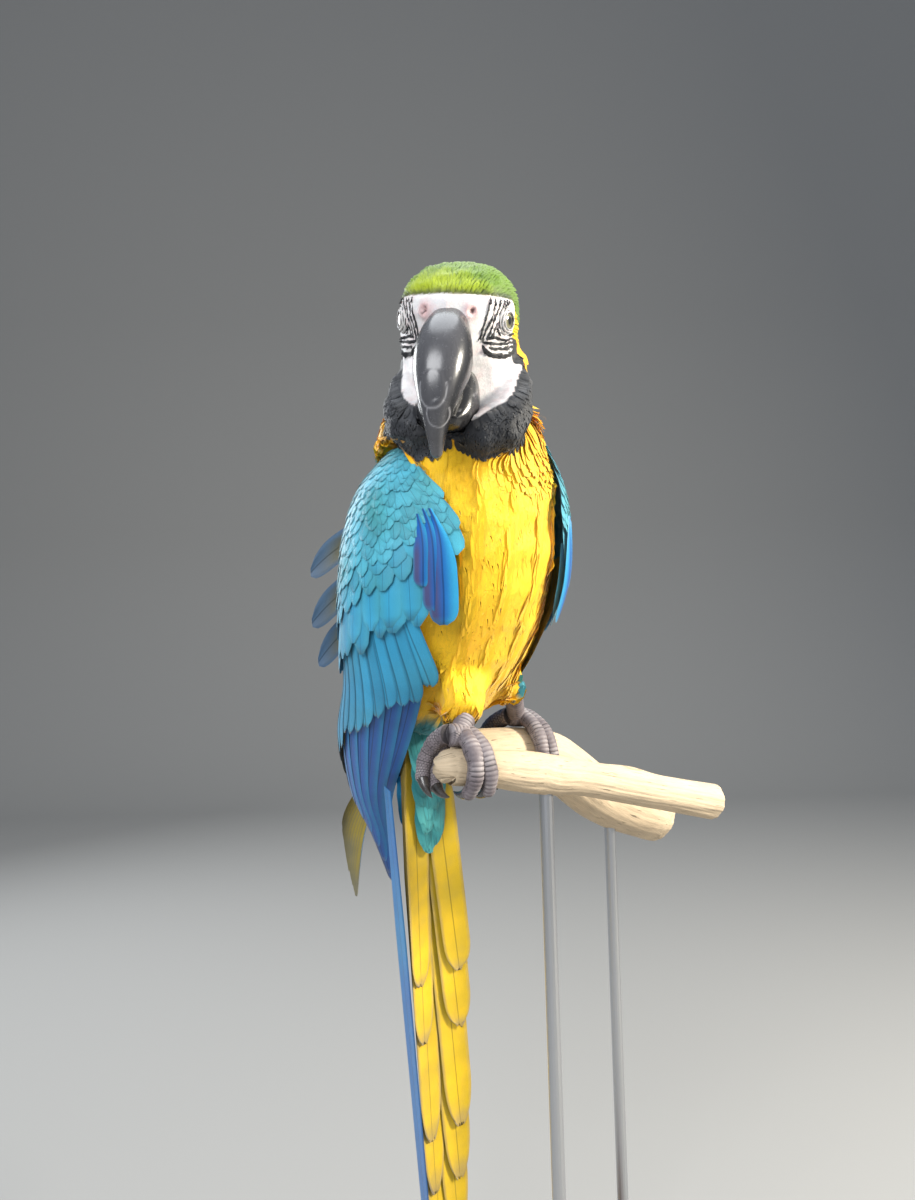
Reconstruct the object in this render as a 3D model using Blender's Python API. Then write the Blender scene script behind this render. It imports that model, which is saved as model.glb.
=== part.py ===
"""A blue-and-yellow macaw (Ara ararauna) at life size, perched on two cut lengths of
driftwood that a plain display stand holds up.

The origin is the centre of the stand's underside and +Z is up. The sizes below are
in millimetres. The bird is laid out in its own axes: left, forward and height above
the stand's underside, with the body turned by BODY_YAW about the vertical.
"""
import math
from functools import partial

import bmesh
import bpy
import numpy as np
from mathutils import Matrix, Vector

MM = 0.001
GAP = 0.3                       # clearance between solids that touch

# The bird's place: where its own axes start, and which way the breast faces.
BODY_AT = Vector((-27.0, -40.0, 0.0))
BODY_YAW = 32.0                 # the breast turns to +X from -Y
EYE_LEVEL = 706.5
HEAD_AT = Vector((-22.0, -100.0, EYE_LEVEL))    # midway between the eyes
HEAD_YAW = -9.5                 # the head looks back past -Y
HEAD_PITCH = 15.0               # the bill points down by this
HEAD_ROLL = 5.5                 # the bird's left eye is the lower one

# The trunk's level rings: height, centre forward, half width, half depth.
TRUNK_RINGS = [(476, -26, 15, 13), (484, -25, 27, 24), (500, -20, 41, 37), (520, -13, 52, 48),
               (542, -6, 59, 55), (568, 2, 64, 59), (595, 6, 65, 60), (618, 12, 60, 55)]
NECK_TURN = 2                   # corners by which the head's rings are turned from the trunk's
NECK_RUFF = 4.5                 # the neck's feathers stand out by this, under the throat
# The head's rings: up from the eyes, front, back, half width.
HEAD_RINGS = [(-46, 17, -62, 36.5), (-30, 18, -67, 35), (-16, 23, -69, 33.5), (0, 26.5, -67, 33),
              (11, 25, -63, 32.5), (20, 18, -57, 30), (27, 6, -48, 24), (31, -7, -38, 14)]
HEAD_TOP = 32.5
# The black throat goes round under the bill: left, forward, up and its radius, from
# behind the left cheek to the notch in its middle.
THROAT = [(29, -18, -18, 3.5), (32, -9, -30, 7), (31, 4, -44, 11.5), (24, 15, -56, 15), (10, 20, -58, 12.5),
          (0, 21, -56, 10.5)]
THROAT_SWING = 3.5              # the turned head presses the throat this far to the left
EYE_RADIUS = 8.0
EYE_OUT = 23.0                  # from the head's middle plane to the eye's centre

# The bill: the culmen is an arc about a centre below and behind its root.
CULMEN_CENTRE = (10.0, -42.0)   # forward and up from the eyes
CULMEN_RADIUS = 49.0
# The upper bill's rings: degrees along the arc, width, depth.
UPPER_BILL = [(82, 20, 27), (64, 26, 33), (46, 29.5, 36), (26, 28.5, 34), (6, 22, 28),
              (-10, 14.5, 20), (-23, 9.5, 13), (-33, 6, 6)]
UPPER_BILL_TIP = -40.0
BILL_HOOK = 3.0                 # how far inside the arc the upper bill's tip lies
# The lower bill's rings: forward, up, half width, height below and above.
LOWER_BILL = [(2, -42, 15, 15, 24), (14, -43, 16.5, 16, 21), (26, -46, 15, 12.5, 11),
              (33, -48.5, 11.5, 8, 5), (37, -50, 8, 3.5, 1.2)]

# A folded wing lies on level arcs of ovals, from the bend down to the tip: height,
# the oval's centre (outward and forward), its half width and half depth, and the arc
# in degrees from straight ahead: its leading edge and its back edge.
RIGHT_WING = [(642, 4, 16, 44, 34, 72, 125), (622, 1, 12, 62, 56, 53, 152), (596, 2, 7, 68, 62, 36, 167),
              (566, 3, 2, 69, 62, 31, 170), (536, 5, -8, 64, 58, 27, 172), (508, 8, -25, 54, 51, 20, 173),
              (475, 9, -60, 41, 46, 8, 174), (432, 3, -97, 25, 27, 0, 176),
              (396, -10, -117, 14, 11, 0, 178), (357, -26, -142, 4, 6, 0, 178)]
LEFT_WING = [(649, 5, 16, 49, 36, 58, 125), (622, 1, 12, 62, 57, 45, 152), (596, 1, 7, 68, 63, 38, 167),
             (566, 1, 2, 68, 63, 40, 170), (536, 1, -9, 62, 58, 46, 172), (508, 3, -28, 53, 54, 50, 174),
             (475, 5, -70, 38, 48, 50, 172), (438, 4, -116, 19, 25, 38, 172),
             (400, -2, -147, 14, 15, 50, 200), (344, -5, -160, 12, 13, 60, 212)]
# Each layer of a wing: how deep its outer and inner faces lie, where it starts and
# ends along the wing, how much sooner its back edge ends, and its feather tips.
WING_LAYERS = {
    "wing_coverts": (0.0, 3.2, 0.0, 0.48, -0.05, 4),
    "secondaries": (4.0, 5.7, 0.30, 0.80, -0.24, 4),
    "primaries": (6.2, 7.9, 0.40, 1.0, 0.02, 2),
}
WING_DEPTH = 7.9
WING_ROWS, WING_COLUMNS = 13, 12        # every layer's facets follow this one grid
WING_ROOM = 16.0                # how far out a wing's room goes, beyond the bodies it cuts
TIP_DROP = 0.035                # how far a feather's edge falls short of its tip
THINNING = (0.66, 0.75)         # where along the wing its layers start to thin, and by how much
# The alula: start and end along the wing, middle and width as shares across it.
ALULA = (0.20, 0.42, 0.0, 0.065)
ALULA_FACES = (-2.3, -0.3)
# Three inner feathers of the left wing lie across the back: root and tip.
TERTIALS = [((22, -49, 612), (-61, -73, 609)), ((22, -58, 587), (-60, -75, 577)),
            ((20, -70, 562), (-55, -78, 552))]
TERTIAL_WIDTH = 20.0
TERTIAL_DROOP = 30.0            # how far a tip hangs below the feather's straight line

# The tail: where it starts, how far it leans back, and its pairs of feathers from
# the outermost to the middle one: length, width, how far it fans out.
TAIL_AT = Vector((-58.5, 11.0, 472.0))
TAIL_LEAN = 10.0
TAIL_SWING = 2.0                # its tip hangs towards +X by this
TAIL_TURN = 38.0
TAIL_PAIRS = [(165, 23, 13), (208, 24, 12), (283, 25, 10), (325, 25, 8.5), (368, 25, 6.5), (440, 24, 4)]
TAIL_STEP = 1.2                 # from one feather's face to the next one's
TAIL_VANE = 0.8                 # a stiff feather's thickness, in the tail and the tertials
TAIL_GUTTER = 7.0               # how far the tail's edges droop below its ridge
TAIL_HALF_WIDTH = 26.0
# The right middle feather stands on edge beside the others: its middle line's place
# left of and ventral of the ridge, its roll, and its width.
ROLLED = (-24.5, 6.0, 75.0, 22.0)
ROLLED_ROOT = 28.0              # how far below the others it starts, clear of the wing
TAIL_BASE_RINGS = [(502, -34, 38, 26), (491, -46, 32, 22), (480, -57, 25, 17), (474.2, -60.5, 22, 14)]
# The soft feathers over the tail's roots: length, width and thickness.
UNDERTAIL_COVERTS = (78.0, 34.0, 5.0)
UPPERTAIL_COVERTS = (96.0, 34.0, 4.0)

# The two lengths of driftwood: points of the axis and their radii.
NEAR_LIMB = [(-32, -83, 465, 8.5), (-30, -82, 465, 10.2), (-10, -70, 462, 10.4), (12, -56, 457, 11.8),
             (26, -47, 453.5, 11.6), (50, -33, 448, 10.4), (96, -4, 434, 10.8), (140, 24, 421, 11.4)]
FAR_LIMB = [(-20, -21, 462, 13), (-17, -18, 462, 16), (14, 8, 459, 16.5), (36, 28, 450, 17.5),
            (72, 68, 419, 19), (112, 110, 398, 20), (122, 118, 393, 19)]
# Knots: the limb, the share of its length, the way they face and how far they rise.
KNOTS = [("near_limb", 0.36, 200, 3.2), ("near_limb", 0.80, 80, 1.8), ("far_limb", 0.50, 150, 3.6)]

# The feet: each one's limb, its place along it, and the thickness of its toes.
FEET = {
    "right": dict(limb="near_limb", at=0.145, toe=5.0),
    "left": dict(limb="far_limb", at=0.30, toe=4.9),
}
# Toes: offset along the limb at the palm and at the tip, arc from the top in degrees.
TOES = [(3.0, 6.0, 158), (8.0, 17.0, 146), (-1.0, -5.0, -150), (-5.0, -12.0, -128)]
TOE_LIFT = 2.0                  # a toe's root rises by this onto the palm
PALM = (-5.0, 8.0, 6.5)         # where it starts and ends along the limb, its radius
SHANK_RADIUS = 5.5
CLAW_ROOT, CLAW_TIP = 3.6, 0.5  # a claw's radii
CLAW_ARC = 48.0
CLAW_LIFT = 0.7                 # how far a claw's root stands off the limb
CLAW_CLEAR = 4.0                # degrees left free between a toe and its claw
# The feathered thighs: places on the middle line and their radii.
THIGHS = {"right": [(-4, -4, 535, 30), (-8, 10, 512, 24), (-13, 29, 490, 12.5)],
          "left": [(24, -3, 535, 28), (32, -2, 516, 21), (43, -3, 499, 10.5)]}

# The stand.
BASE_SIZE = (300.0, 290.0, 18.0)
BASE_CORNER = 28.0
BASE_EDGE = 3.0                 # the chamfer round its top
ROD_RADIUS = 4.0
RODS = {"stand_rod_near": ("near_limb", 0.55), "stand_rod_far": ("far_limb", 0.70)}

# The grain at which fused pieces become one body, and the share of its faces it keeps.
FUSE_VOXEL, FOOT_KEEP, THROAT_KEEP = 1.1, 0.022, 0.008
SAME = 0.02                     # corners closer than this are one
SHARP = 40.0                    # degrees between faces whose edge looks sharp

# Base colour, roughness and metallic value.
FINISHES = {
    "crown": ((0.36, 0.50, 0.04), 0.7, 0.0),
    "yellow": ((0.85, 0.42, 0.01), 0.7, 0.0),
    "throat": ((0.02, 0.022, 0.025), 0.8, 0.0),
    "turquoise": ((0.03, 0.30, 0.42), 0.6, 0.0),
    "blue": ((0.01, 0.10, 0.42), 0.5, 0.0),
    "teal": ((0.02, 0.26, 0.30), 0.6, 0.0),
    "tail": ((0.70, 0.50, 0.03), 0.5, 0.0),
    "horn": ((0.03, 0.03, 0.035), 0.25, 0.0),
    "eye": ((0.45, 0.45, 0.30), 0.1, 0.0),
    "foot": ((0.20, 0.18, 0.19), 0.7, 0.0),
    "wood": ((0.62, 0.44, 0.25), 0.75, 0.0),
    "base": ((0.75, 0.75, 0.73), 0.5, 0.0),
    "steel": ((0.60, 0.60, 0.61), 0.3, 1.0),
}


# --- Frames and curves -------------------------------------------------------------

BIRD = Matrix.Translation(BODY_AT) @ Matrix.Rotation(math.radians(BODY_YAW - 180), 4, "Z")
HEAD = (Matrix.Translation(HEAD_AT) @ Matrix.Rotation(math.radians(HEAD_YAW - 180), 4, "Z")
        @ Matrix.Rotation(math.radians(-HEAD_PITCH), 4, "X")
        @ Matrix.Rotation(math.radians(-HEAD_ROLL), 4, "Y"))
TAIL = (Matrix.Translation(TAIL_AT) @ Matrix.Rotation(math.radians(-TAIL_SWING), 4, "Y")
        @ Matrix.Rotation(math.radians(TAIL_LEAN), 4, "X")
        @ Matrix.Rotation(math.radians(TAIL_TURN), 4, "Z"))


def bird(point):
    """A point given as left, forward, height in the bird's own axes."""
    left, forward, up = point
    return BIRD @ Vector((-left, forward, up))


def head(point):
    """A point given as left, forward, up from between the eyes."""
    left, forward, up = point
    return HEAD @ Vector((-left, forward, up))


def smooth(rows, share):
    """The row at a share of the way through the rows, on a Catmull-Rom curve."""
    rows = np.asarray(rows, dtype=float)
    place = min(max(share, 0.0), 1.0) * (len(rows) - 1)
    first = min(int(place), len(rows) - 2)
    t = place - first
    before, after = rows[max(first - 1, 0)], rows[min(first + 2, len(rows) - 1)]
    start, end = rows[first], rows[first + 1]
    return 0.5 * (2 * start + (end - before) * t + (2 * before - 5 * start + 4 * end - after) * t * t
                  + (3 * start - before - 3 * end + after) * t ** 3)


def frame_on(curve, share, up=Vector((0, 0, 1))):
    """A place on a curve, with its direction, the side and the upward normal there."""
    step = 0.01
    place = Vector(curve(share))
    along = (Vector(curve(min(share + step, 1.0))) - Vector(curve(max(share - step, 0.0)))).normalized()
    side = along.cross(up).normalized()
    return place, along, side, side.cross(along).normalized()


def rounded_end(share, start):
    """A feather's width as a share of its full width, past where its end rounds."""
    return math.sqrt(max(1 - max((share - start) / (1.005 - start), 0.0) ** 2, 0.0))


# --- Meshes ------------------------------------------------------------------------

def material(name):
    colour, roughness, metallic = FINISHES[name]
    made = bpy.data.materials.new(name)
    made.use_nodes = True
    shader = made.node_tree.nodes["Principled BSDF"]
    shader.inputs["Base Color"].default_value = (*colour, 1.0)
    shader.inputs["Roughness"].default_value = roughness
    shader.inputs["Metallic"].default_value = metallic
    return made


def add(name, points, faces, colour):
    """A named closed body from points in millimetres, with its faces turned out."""
    shape = bmesh.new()
    corners = [shape.verts.new(Vector(point) * MM) for point in points]
    for face in faces:
        shape.faces.new([corners[i] for i in face])
    bmesh.ops.remove_doubles(shape, verts=shape.verts, dist=SAME * MM)
    bmesh.ops.recalc_face_normals(shape, faces=shape.faces)
    mesh = bpy.data.meshes.new(name)
    shape.to_mesh(mesh)
    shape.free()
    mesh.shade_smooth()
    mesh.set_sharp_from_angle(angle=math.radians(SHARP))
    made = bpy.data.objects.new(name, mesh)
    bpy.context.scene.collection.objects.link(made)
    mesh.materials.append(material(colour))
    return made


def loft(name, rings, colour, low_pole=None, high_pole=None):
    """A closed body through rings of equal length. A pole closes an end to a point,
    else the end is flat."""
    count = len(rings[0])
    points = [point for ring in rings for point in ring]
    faces = []
    for row in range(len(rings) - 1):
        for i in range(count):
            j = (i + 1) % count
            low, high = row * count, (row + 1) * count
            faces += [(low + i, low + j, high + j), (low + i, high + j, high + i)]
    for pole, base in ((low_pole, 0), (high_pole, (len(rings) - 1) * count)):
        corners = [base + i for i in range(count)]
        if pole is None:
            faces.append(tuple(corners))
        else:
            points.append(pole)
            faces += [(corners[i], corners[(i + 1) % count], len(points) - 1) for i in range(count)]
    return add(name, points, faces, colour)


def shares(count):
    """Even steps from 0 to 1."""
    return [step / count for step in range(count + 1)]


def turns(count):
    """Even steps once round, in radians, without the last one."""
    return [2 * math.pi * step / count for step in range(count)]


def sheet(name, place, outer, inner, alongs, acrosses, colour):
    """A thin closed body between two depths of a surface. place gives a point from
    the shares along and across, and the depth."""
    points = [place(along, across, deep)
              for deep in (outer, inner) for along in alongs for across in acrosses]
    rows, columns = len(alongs) - 1, len(acrosses) - 1
    wide, layer = columns + 1, (rows + 1) * (columns + 1)
    faces = []
    for row in range(rows):
        for column in range(columns):
            a = row * wide + column
            for b, c in ((a + 1, a + wide + 1), (a + wide + 1, a + wide)):
                faces += [(a, b, c), (layer + a, layer + c, layer + b)]
    rim = list(range(wide)) + [row * wide + columns for row in range(1, rows + 1)]
    rim += [rows * wide + column for column in range(columns - 1, -1, -1)]
    rim += [row * wide for row in range(rows - 1, 0, -1)]
    for i, a in enumerate(rim):
        b = rim[(i + 1) % len(rim)]
        faces += [(b, a, layer + a), (b, layer + a, layer + b)]
    return add(name, points, faces, colour)


BLUNT = 0.45                    # how far a tube's end rises, as a share of its radius


def tube(name, curve, radius, colour, steps, sides=10, grow=0.0):
    """A round tube along a curve, with its radius read at each share of the way and
    at each turn about it, and with blunt ends."""
    rings = []
    for share in shares(steps):
        place, _, side, upward = frame_on(curve, share)
        ring = []
        for turn in turns(sides):
            reach = radius(share, math.degrees(turn)) + grow
            ring.append(place + side * reach * math.cos(turn) + upward * reach * math.sin(turn))
        rings.append(ring)
    ends = []
    for share in (0.0, 1.0):
        place, along, _, _ = frame_on(curve, share)
        blunt = BLUNT * (radius(share, 0.0) + grow)
        ends.append(place + along * blunt * (1 if share else -1))
    return loft(name, rings, colour, *ends)


def fuse(name, pieces, colour, keep):
    """One closed body with the outline of all the pieces, which are used up."""
    shape = bmesh.new()
    for piece in pieces:
        shape.from_mesh(piece.data)
    mesh = bpy.data.meshes.new(name)
    shape.to_mesh(mesh)
    shape.free()
    for piece in pieces:
        bpy.data.objects.remove(piece)
    made = bpy.data.objects.new(name, mesh)
    bpy.context.scene.collection.objects.link(made)
    mesh.materials.append(material(colour))
    skin = made.modifiers.new("one skin", "REMESH")
    skin.voxel_size = FUSE_VOXEL * MM
    thinner = made.modifiers.new("fewer faces", "DECIMATE")
    thinner.ratio = keep
    return made


def join(target, others, way):
    """Unites others with the target, or cuts them from it. They are guides only."""
    for other in others:
        step = target.modifiers.new(way + " " + other.name, "BOOLEAN")
        step.operation = way
        step.object = other
        other.hide_render = True
        other.display_type = "WIRE"


def oval(place, centre, height, half_width, front, back, count):
    """A level ring of a body."""
    ring = []
    for turn in turns(count):
        ahead = math.cos(turn) * (front if math.cos(turn) > 0 else back)
        ring.append(place((half_width * math.sin(turn), centre + ahead, height)))
    return ring


# --- Trunk, neck and head ------------------------------------------------------------

ROUND = 18                      # corners in a ring of the body
BODY_STEPS, NECK_STEPS = 9, 5   # faces up the trunk or the head, and up the neck


def trunk_ring(row, lift=0.0, grow=0.0):
    height, forward, half_width, half_depth = row
    return oval(bird, forward, height + lift, half_width + grow, half_depth + grow, half_depth + grow,
                ROUND)


def head_ring(row, lift=0.0, grow=0.0):
    height, front, back, half_width = row
    middle = (front + back) / 2
    return oval(head, middle, height + lift, half_width + grow, front - middle + grow,
                middle - back + grow, ROUND)


def trunk(name="trunk", grow=0.0):
    rings = [trunk_ring(smooth(TRUNK_RINGS, share), grow=grow) for share in shares(BODY_STEPS)]
    height, forward = TRUNK_RINGS[0][:2]
    return loft(name, rings, "yellow", low_pole=bird((0, forward - 1, height - 4 - grow)))


def neck(name="neck", grow=0.0):
    """From the trunk's top ring to the head's lowest one, which faces another way."""
    low = trunk_ring(TRUNK_RINGS[-1], GAP, grow)
    high = head_ring(HEAD_RINGS[0], -GAP, grow)
    high = high[NECK_TURN:] + high[:NECK_TURN]
    rings = []
    for share in shares(NECK_STEPS):
        ring = [Vector(a).lerp(Vector(b), share) for a, b in zip(low, high)]
        middle = sum(ring, Vector()) / len(ring)
        ruff = NECK_RUFF * math.sin(math.pi * share ** 2.2)
        rings.append([point + (point - middle).normalized() * ruff for point in ring])
    return loft(name, rings, "yellow")


def head_body(name="head", grow=0.0):
    rings = [head_ring(smooth(HEAD_RINGS, share), grow=grow) for share in shares(BODY_STEPS)]
    rings[0] = head_ring(HEAD_RINGS[0], -2 * grow, grow)
    return loft(name, rings, "crown", high_pole=head((0, -22, HEAD_TOP + grow)))


def throat():
    """The black feathers under the bill, with a lobe on each side of the notch."""
    rows = THROAT + [(-row[0], *row[1:]) for row in THROAT[-2::-1]]

    def curve(share):
        left, forward, up = smooth(rows, share)[:3]
        return head((left + THROAT_SWING, forward, up))

    def radius(share, turn):
        return smooth(rows, share)[3]
    return fuse("throat", [tube("throat_roll", curve, radius, "throat", 20)], "throat", THROAT_KEEP)


BILL_ROUND, UPPER_BILL_STEPS, LOWER_BILL_STEPS = 12, 9, 6
LOWER_BILL_SQUARE = 0.6         # below 1 the lower bill's sides stand up steeply


def upper_bill(name="upper_bill", grow=0.0):
    """The hooked bill: its rings stand square to the culmen's arc."""
    rings = []
    for share in shares(UPPER_BILL_STEPS):
        angle, width, depth = smooth(UPPER_BILL, share)
        turn = math.radians(angle)
        ring = []
        for place in turns(BILL_ROUND):
            side = math.cos(place) * (width / 2 + grow)
            reach = CULMEN_RADIUS - depth / 2 + (depth / 2 + grow) * math.sin(place)
            ring.append(head((side, CULMEN_CENTRE[0] + reach * math.cos(turn),
                              CULMEN_CENTRE[1] + reach * math.sin(turn))))
        rings.append(ring)
    turn = math.radians(UPPER_BILL_TIP)
    reach = CULMEN_RADIUS - BILL_HOOK
    tip = head((0, CULMEN_CENTRE[0] + reach * math.cos(turn), CULMEN_CENTRE[1] + reach * math.sin(turn)))
    return loft(name, rings, "horn", high_pole=tip)


def lower_bill(name="lower_bill", grow=0.0):
    """The scoop of the lower bill, which closes behind the upper one's hook."""
    rings = []
    for share in shares(LOWER_BILL_STEPS):
        ahead, level, half_width, below, above = smooth(LOWER_BILL, share)
        ring = []
        for turn in turns(BILL_ROUND):
            tall = (above if math.sin(turn) > 0 else below) + grow
            wide = math.copysign(abs(math.cos(turn)) ** LOWER_BILL_SQUARE, math.cos(turn))
            ring.append(head(((half_width + grow) * wide, ahead, level + tall * math.sin(turn))))
        rings.append(ring)
    return loft(name, rings, "horn")


def eye(name, side, grow=0.0):
    radius, rings = EYE_RADIUS + grow, []
    for share in shares(6)[1:-1]:
        out, across = -radius * math.cos(math.pi * share), radius * math.sin(math.pi * share)
        rings.append([head((side * (EYE_OUT + out), across * math.cos(turn), across * math.sin(turn)))
                      for turn in turns(12)])
    poles = [head((side * (EYE_OUT + way * radius), 0, 0)) for way in (-1, 1)]
    return loft(name, rings, "eye", *poles)


# --- Wings ---------------------------------------------------------------------------

def wing_point(side, rows, along, across, deep=0.0):
    """A point of a folded wing: along from the bend to the tip, across from the
    leading edge to the back edge, and deep under the outer face."""
    height, out, forward, half_width, half_depth, lead, back = smooth(rows, along)
    turn = math.radians(lead + (back - lead) * across)
    before = 0.0 if along > 0 else -along * (rows[0][0] - rows[1][0]) * (len(rows) - 1)
    level = height + before
    left = side * (out + (half_width - deep) * math.sin(turn))
    return bird((left, forward + (half_depth - deep) * math.cos(turn), level))


def wing_layer(name, side, rows, layer, colour):
    outer, inner, start, end, sooner, count = layer
    thin_from, thinning = THINNING

    def place(along, across, deep):
        drop = TIP_DROP * (2 * abs((across * count) % 1.0 - 0.5)) ** 2
        along = min(along, end + sooner * (1 - across) - drop)
        thin = 1.0 - thinning * min(max((along - thin_from) / (1 - thin_from), 0.0), 1.0)
        return wing_point(side, rows, along, across, deep * thin)
    alongs = [along for along in shares(WING_ROWS) if start <= along < end + 1 / WING_ROWS]
    return sheet(name, place, outer, inner, alongs, shares(WING_COLUMNS), colour)


def wing(name, side, rows):
    colours = {"wing_coverts": "turquoise", "secondaries": "turquoise", "primaries": "blue"}
    for part, layer in WING_LAYERS.items():
        wing_layer(f"{name}_{part}", side, rows, layer, colours[part])

    def alula(share, across, deep):
        start, end, middle, width = ALULA
        half = width * rounded_end(share, 0.7) * (0.45 + 0.55 * min(share * 2.2, 1.0))
        return wing_point(side, rows, start + (end - start) * share, middle + half * (2 * across - 1), deep)
    sheet(name + "_alula", alula, *ALULA_FACES, shares(8), shares(3), "blue")


def wing_room(name, side, rows, outer, end=0.80):
    """The room that a wing takes, for the bodies that it touches."""
    alongs = [-0.012] + [along for along in shares(WING_ROWS) if along <= end]
    acrosses = [-0.02] + shares(WING_COLUMNS // 2) + [1.02]
    return sheet(name, partial(wing_point, side, rows), outer, WING_DEPTH + GAP, alongs, acrosses, "blue")


def tertials():
    made = []
    for number, (root, tip) in enumerate(TERTIALS, start=1):
        start, end = bird(root), bird(tip)
        along = (end - start).normalized()
        facing = bird((0, -1, 0)) - bird((0, 0, 0))
        facing = (facing - along * facing.dot(along)).normalized()
        across = along.cross(facing)

        def place(share, side, deep, start=start, end=end, across=across, facing=facing):
            half = TERTIAL_WIDTH / 2 * rounded_end(share, 0.7) * (0.6 + 0.4 * min(3 * share, 1.0))
            middle = start.lerp(end, share) - Vector((0, 0, TERTIAL_DROOP * share ** 3))
            return middle + across * half * (2 * side - 1) + facing * deep
        made.append(sheet(f"left_tertial_{number}", place, 0.0, TAIL_VANE, shares(7), shares(2), "tail"))
    return made


# --- Tail ----------------------------------------------------------------------------

def tail_point(left, below, ventral):
    """A point of the tail: left of its ridge, below its root, ventral of its ridge."""
    droop = TAIL_GUTTER * (abs(left) / TAIL_HALF_WIDTH) ** 2.2
    return TAIL @ Vector((left, -(ventral + droop), -below))


def vane_half(width, share, root, rise, taper):
    """A tail feather's half width: root of it at the root, full by 1 / rise of the way,
    and less by taper towards the rounded tip."""
    full = rounded_end(share, 0.85) * (root + (1 - root) * min(share * rise, 1))
    return width / 2 * full * (1 - taper * share)


def tail_vane(name, length, width, fan, faces, colour):
    def place(share, across, deep):
        half = vane_half(width, share, 0.62, 4, 0.22)
        left = fan * (0.5 + 0.7 * share) + half * (2 * across - 1)
        return tail_point(left, length * share, deep)
    return sheet(name, place, *faces, shares(5), shares(3), colour)


def rolled_vane(name, length):
    left, ventral, roll, width = ROLLED
    turn = math.radians(roll)

    def place(share, across, deep):
        reach = vane_half(width, share, 0.5, 5, 0.3) * (2 * across - 1)
        x = left * (1 - 0.25 * share) - reach * math.cos(turn) - deep * math.sin(turn)
        y = ventral + reach * math.sin(turn) - deep * math.cos(turn)
        return TAIL @ Vector((x, -y, -ROLLED_ROOT - (length - ROLLED_ROOT) * share))
    return sheet(name, place, 0.0, TAIL_VANE, shares(5), shares(3), "blue")


def tail(rooms):
    level = TAIL_STEP * (2 * len(TAIL_PAIRS) - 1)
    front = level + TAIL_VANE + GAP
    for pair, (length, width, fan) in enumerate(TAIL_PAIRS, start=1):
        for side, sign in (("left", 1), ("right", -1)):
            name = f"{side}_rectrix_{pair}"
            if pair == len(TAIL_PAIRS) and sign < 0:
                made = rolled_vane(name, length)
            else:
                made = tail_vane(name, length, width, sign * fan, (level, level + TAIL_VANE), "tail")
            if sign < 0:
                join(made, rooms[:1], "DIFFERENCE")
            level -= TAIL_STEP
    length, width, thick = UNDERTAIL_COVERTS
    below = tail_vane("undertail_coverts", length, width, 0.0, (front, front + thick), "teal")
    join(below, rooms[:1], "DIFFERENCE")
    length, width, thick = UPPERTAIL_COVERTS
    above = tail_vane("uppertail_coverts", length, width, 0.0, (-GAP - thick, -GAP), "blue")
    join(above, rooms, "DIFFERENCE")


def tail_base():
    rings = [oval(bird, forward, height, half_width, half_depth, half_depth, 14)
             for height, forward, half_width, half_depth in TAIL_BASE_RINGS]
    return loft("tail_base", rings, "teal")


# --- Perch, legs and stand -------------------------------------------------------------

LIMBS = {"near_limb": NEAR_LIMB, "far_limb": FAR_LIMB}


def limb_curve(name, share):
    return smooth(LIMBS[name], share)[:3]


def limb_radius(name, share, turn):
    radius = smooth(LIMBS[name], share)[3]
    for limb, at, facing, height in KNOTS:
        if limb == name:
            off = (turn - facing + 180) % 360 - 180
            radius += height * math.exp(-((share - at) / 0.04) ** 2 - (off / 45.0) ** 2)
    return radius


def limb_body(limb, name, grow=0.0):
    return tube(name, partial(limb_curve, limb), partial(limb_radius, limb), "wood", 11, grow=grow)


def grip(foot, along, turn, reach):
    """A point round the limb: along it from the foot's middle, turned from its top
    towards the bird's front, and reach out from its face."""
    place, direction, side, upward = frame_on(partial(limb_curve, foot["limb"]), foot["at"])
    radius = limb_radius(foot["limb"], foot["at"], 90.0) + reach
    angle = math.radians(turn)
    return place + direction * along + side * radius * math.sin(angle) + upward * radius * math.cos(angle)


def leg(side, foot):
    """The foot with its short shank, two toes before the limb and two behind it."""
    toe = foot["toe"]
    start, end, palm_radius = PALM
    palm_reach = palm_radius + GAP

    def across_limb(share):
        return grip(foot, start + (end - start) * share, 0.0, palm_reach)
    pieces = [tube(f"{side}_palm", across_limb, lambda share, turn: palm_radius, "foot", 4, sides=8)]
    knee = bird(THIGHS[side][-1][:3])

    def shank(share):
        return grip(foot, (start + end) / 2, 0.0, palm_reach).lerp(knee, share)
    pieces.append(tube(f"{side}_shank", shank, lambda share, turn: SHANK_RADIUS, "foot", 3, sides=8))
    for number, (first, last, arc) in enumerate(TOES, start=1):
        way = math.copysign(1, arc)

        def curve(share, first=first, last=last, arc=arc):
            lift = TOE_LIFT * (1 - min(share * 3, 1.0))
            return grip(foot, first + (last - first) * share, arc * share, toe + GAP + lift)

        def radius(share, turn):
            return toe * (1.04 - 0.26 * share + 0.05 * math.cos(2 * math.pi * share * 3))
        pieces.append(tube(f"{side}_toe_{number}", curve, radius, "foot", 8, sides=7))
        tip = toe * 0.78
        clear = CLAW_CLEAR + math.degrees(1.4 * tip / 15.0)

        def claw(share, last=last, begin=arc + way * clear, way=way):
            return grip(foot, last, begin + way * CLAW_ARC * share, tip + CLAW_LIFT + 2.0 * share * share)

        def claw_radius(share, turn):
            return CLAW_ROOT + (CLAW_TIP - CLAW_ROOT) * share
        tube(f"{side}_claw_{number}", claw, claw_radius, "horn", 5, sides=6)
    body = fuse(f"{side}_foot", pieces, "foot", FOOT_KEEP)
    rooms = [limb_body(foot["limb"], side + "_grip", GAP), thigh(side + "_thigh_room", side, GAP)]
    join(body, rooms, "DIFFERENCE")


def thigh(name, side, grow=0.0):
    rows = THIGHS[side]
    return tube(name, lambda share: bird(smooth(rows, share)[:3]),
                lambda share, turn: smooth(rows, share)[3], "yellow", 6, sides=10, grow=grow)


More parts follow.
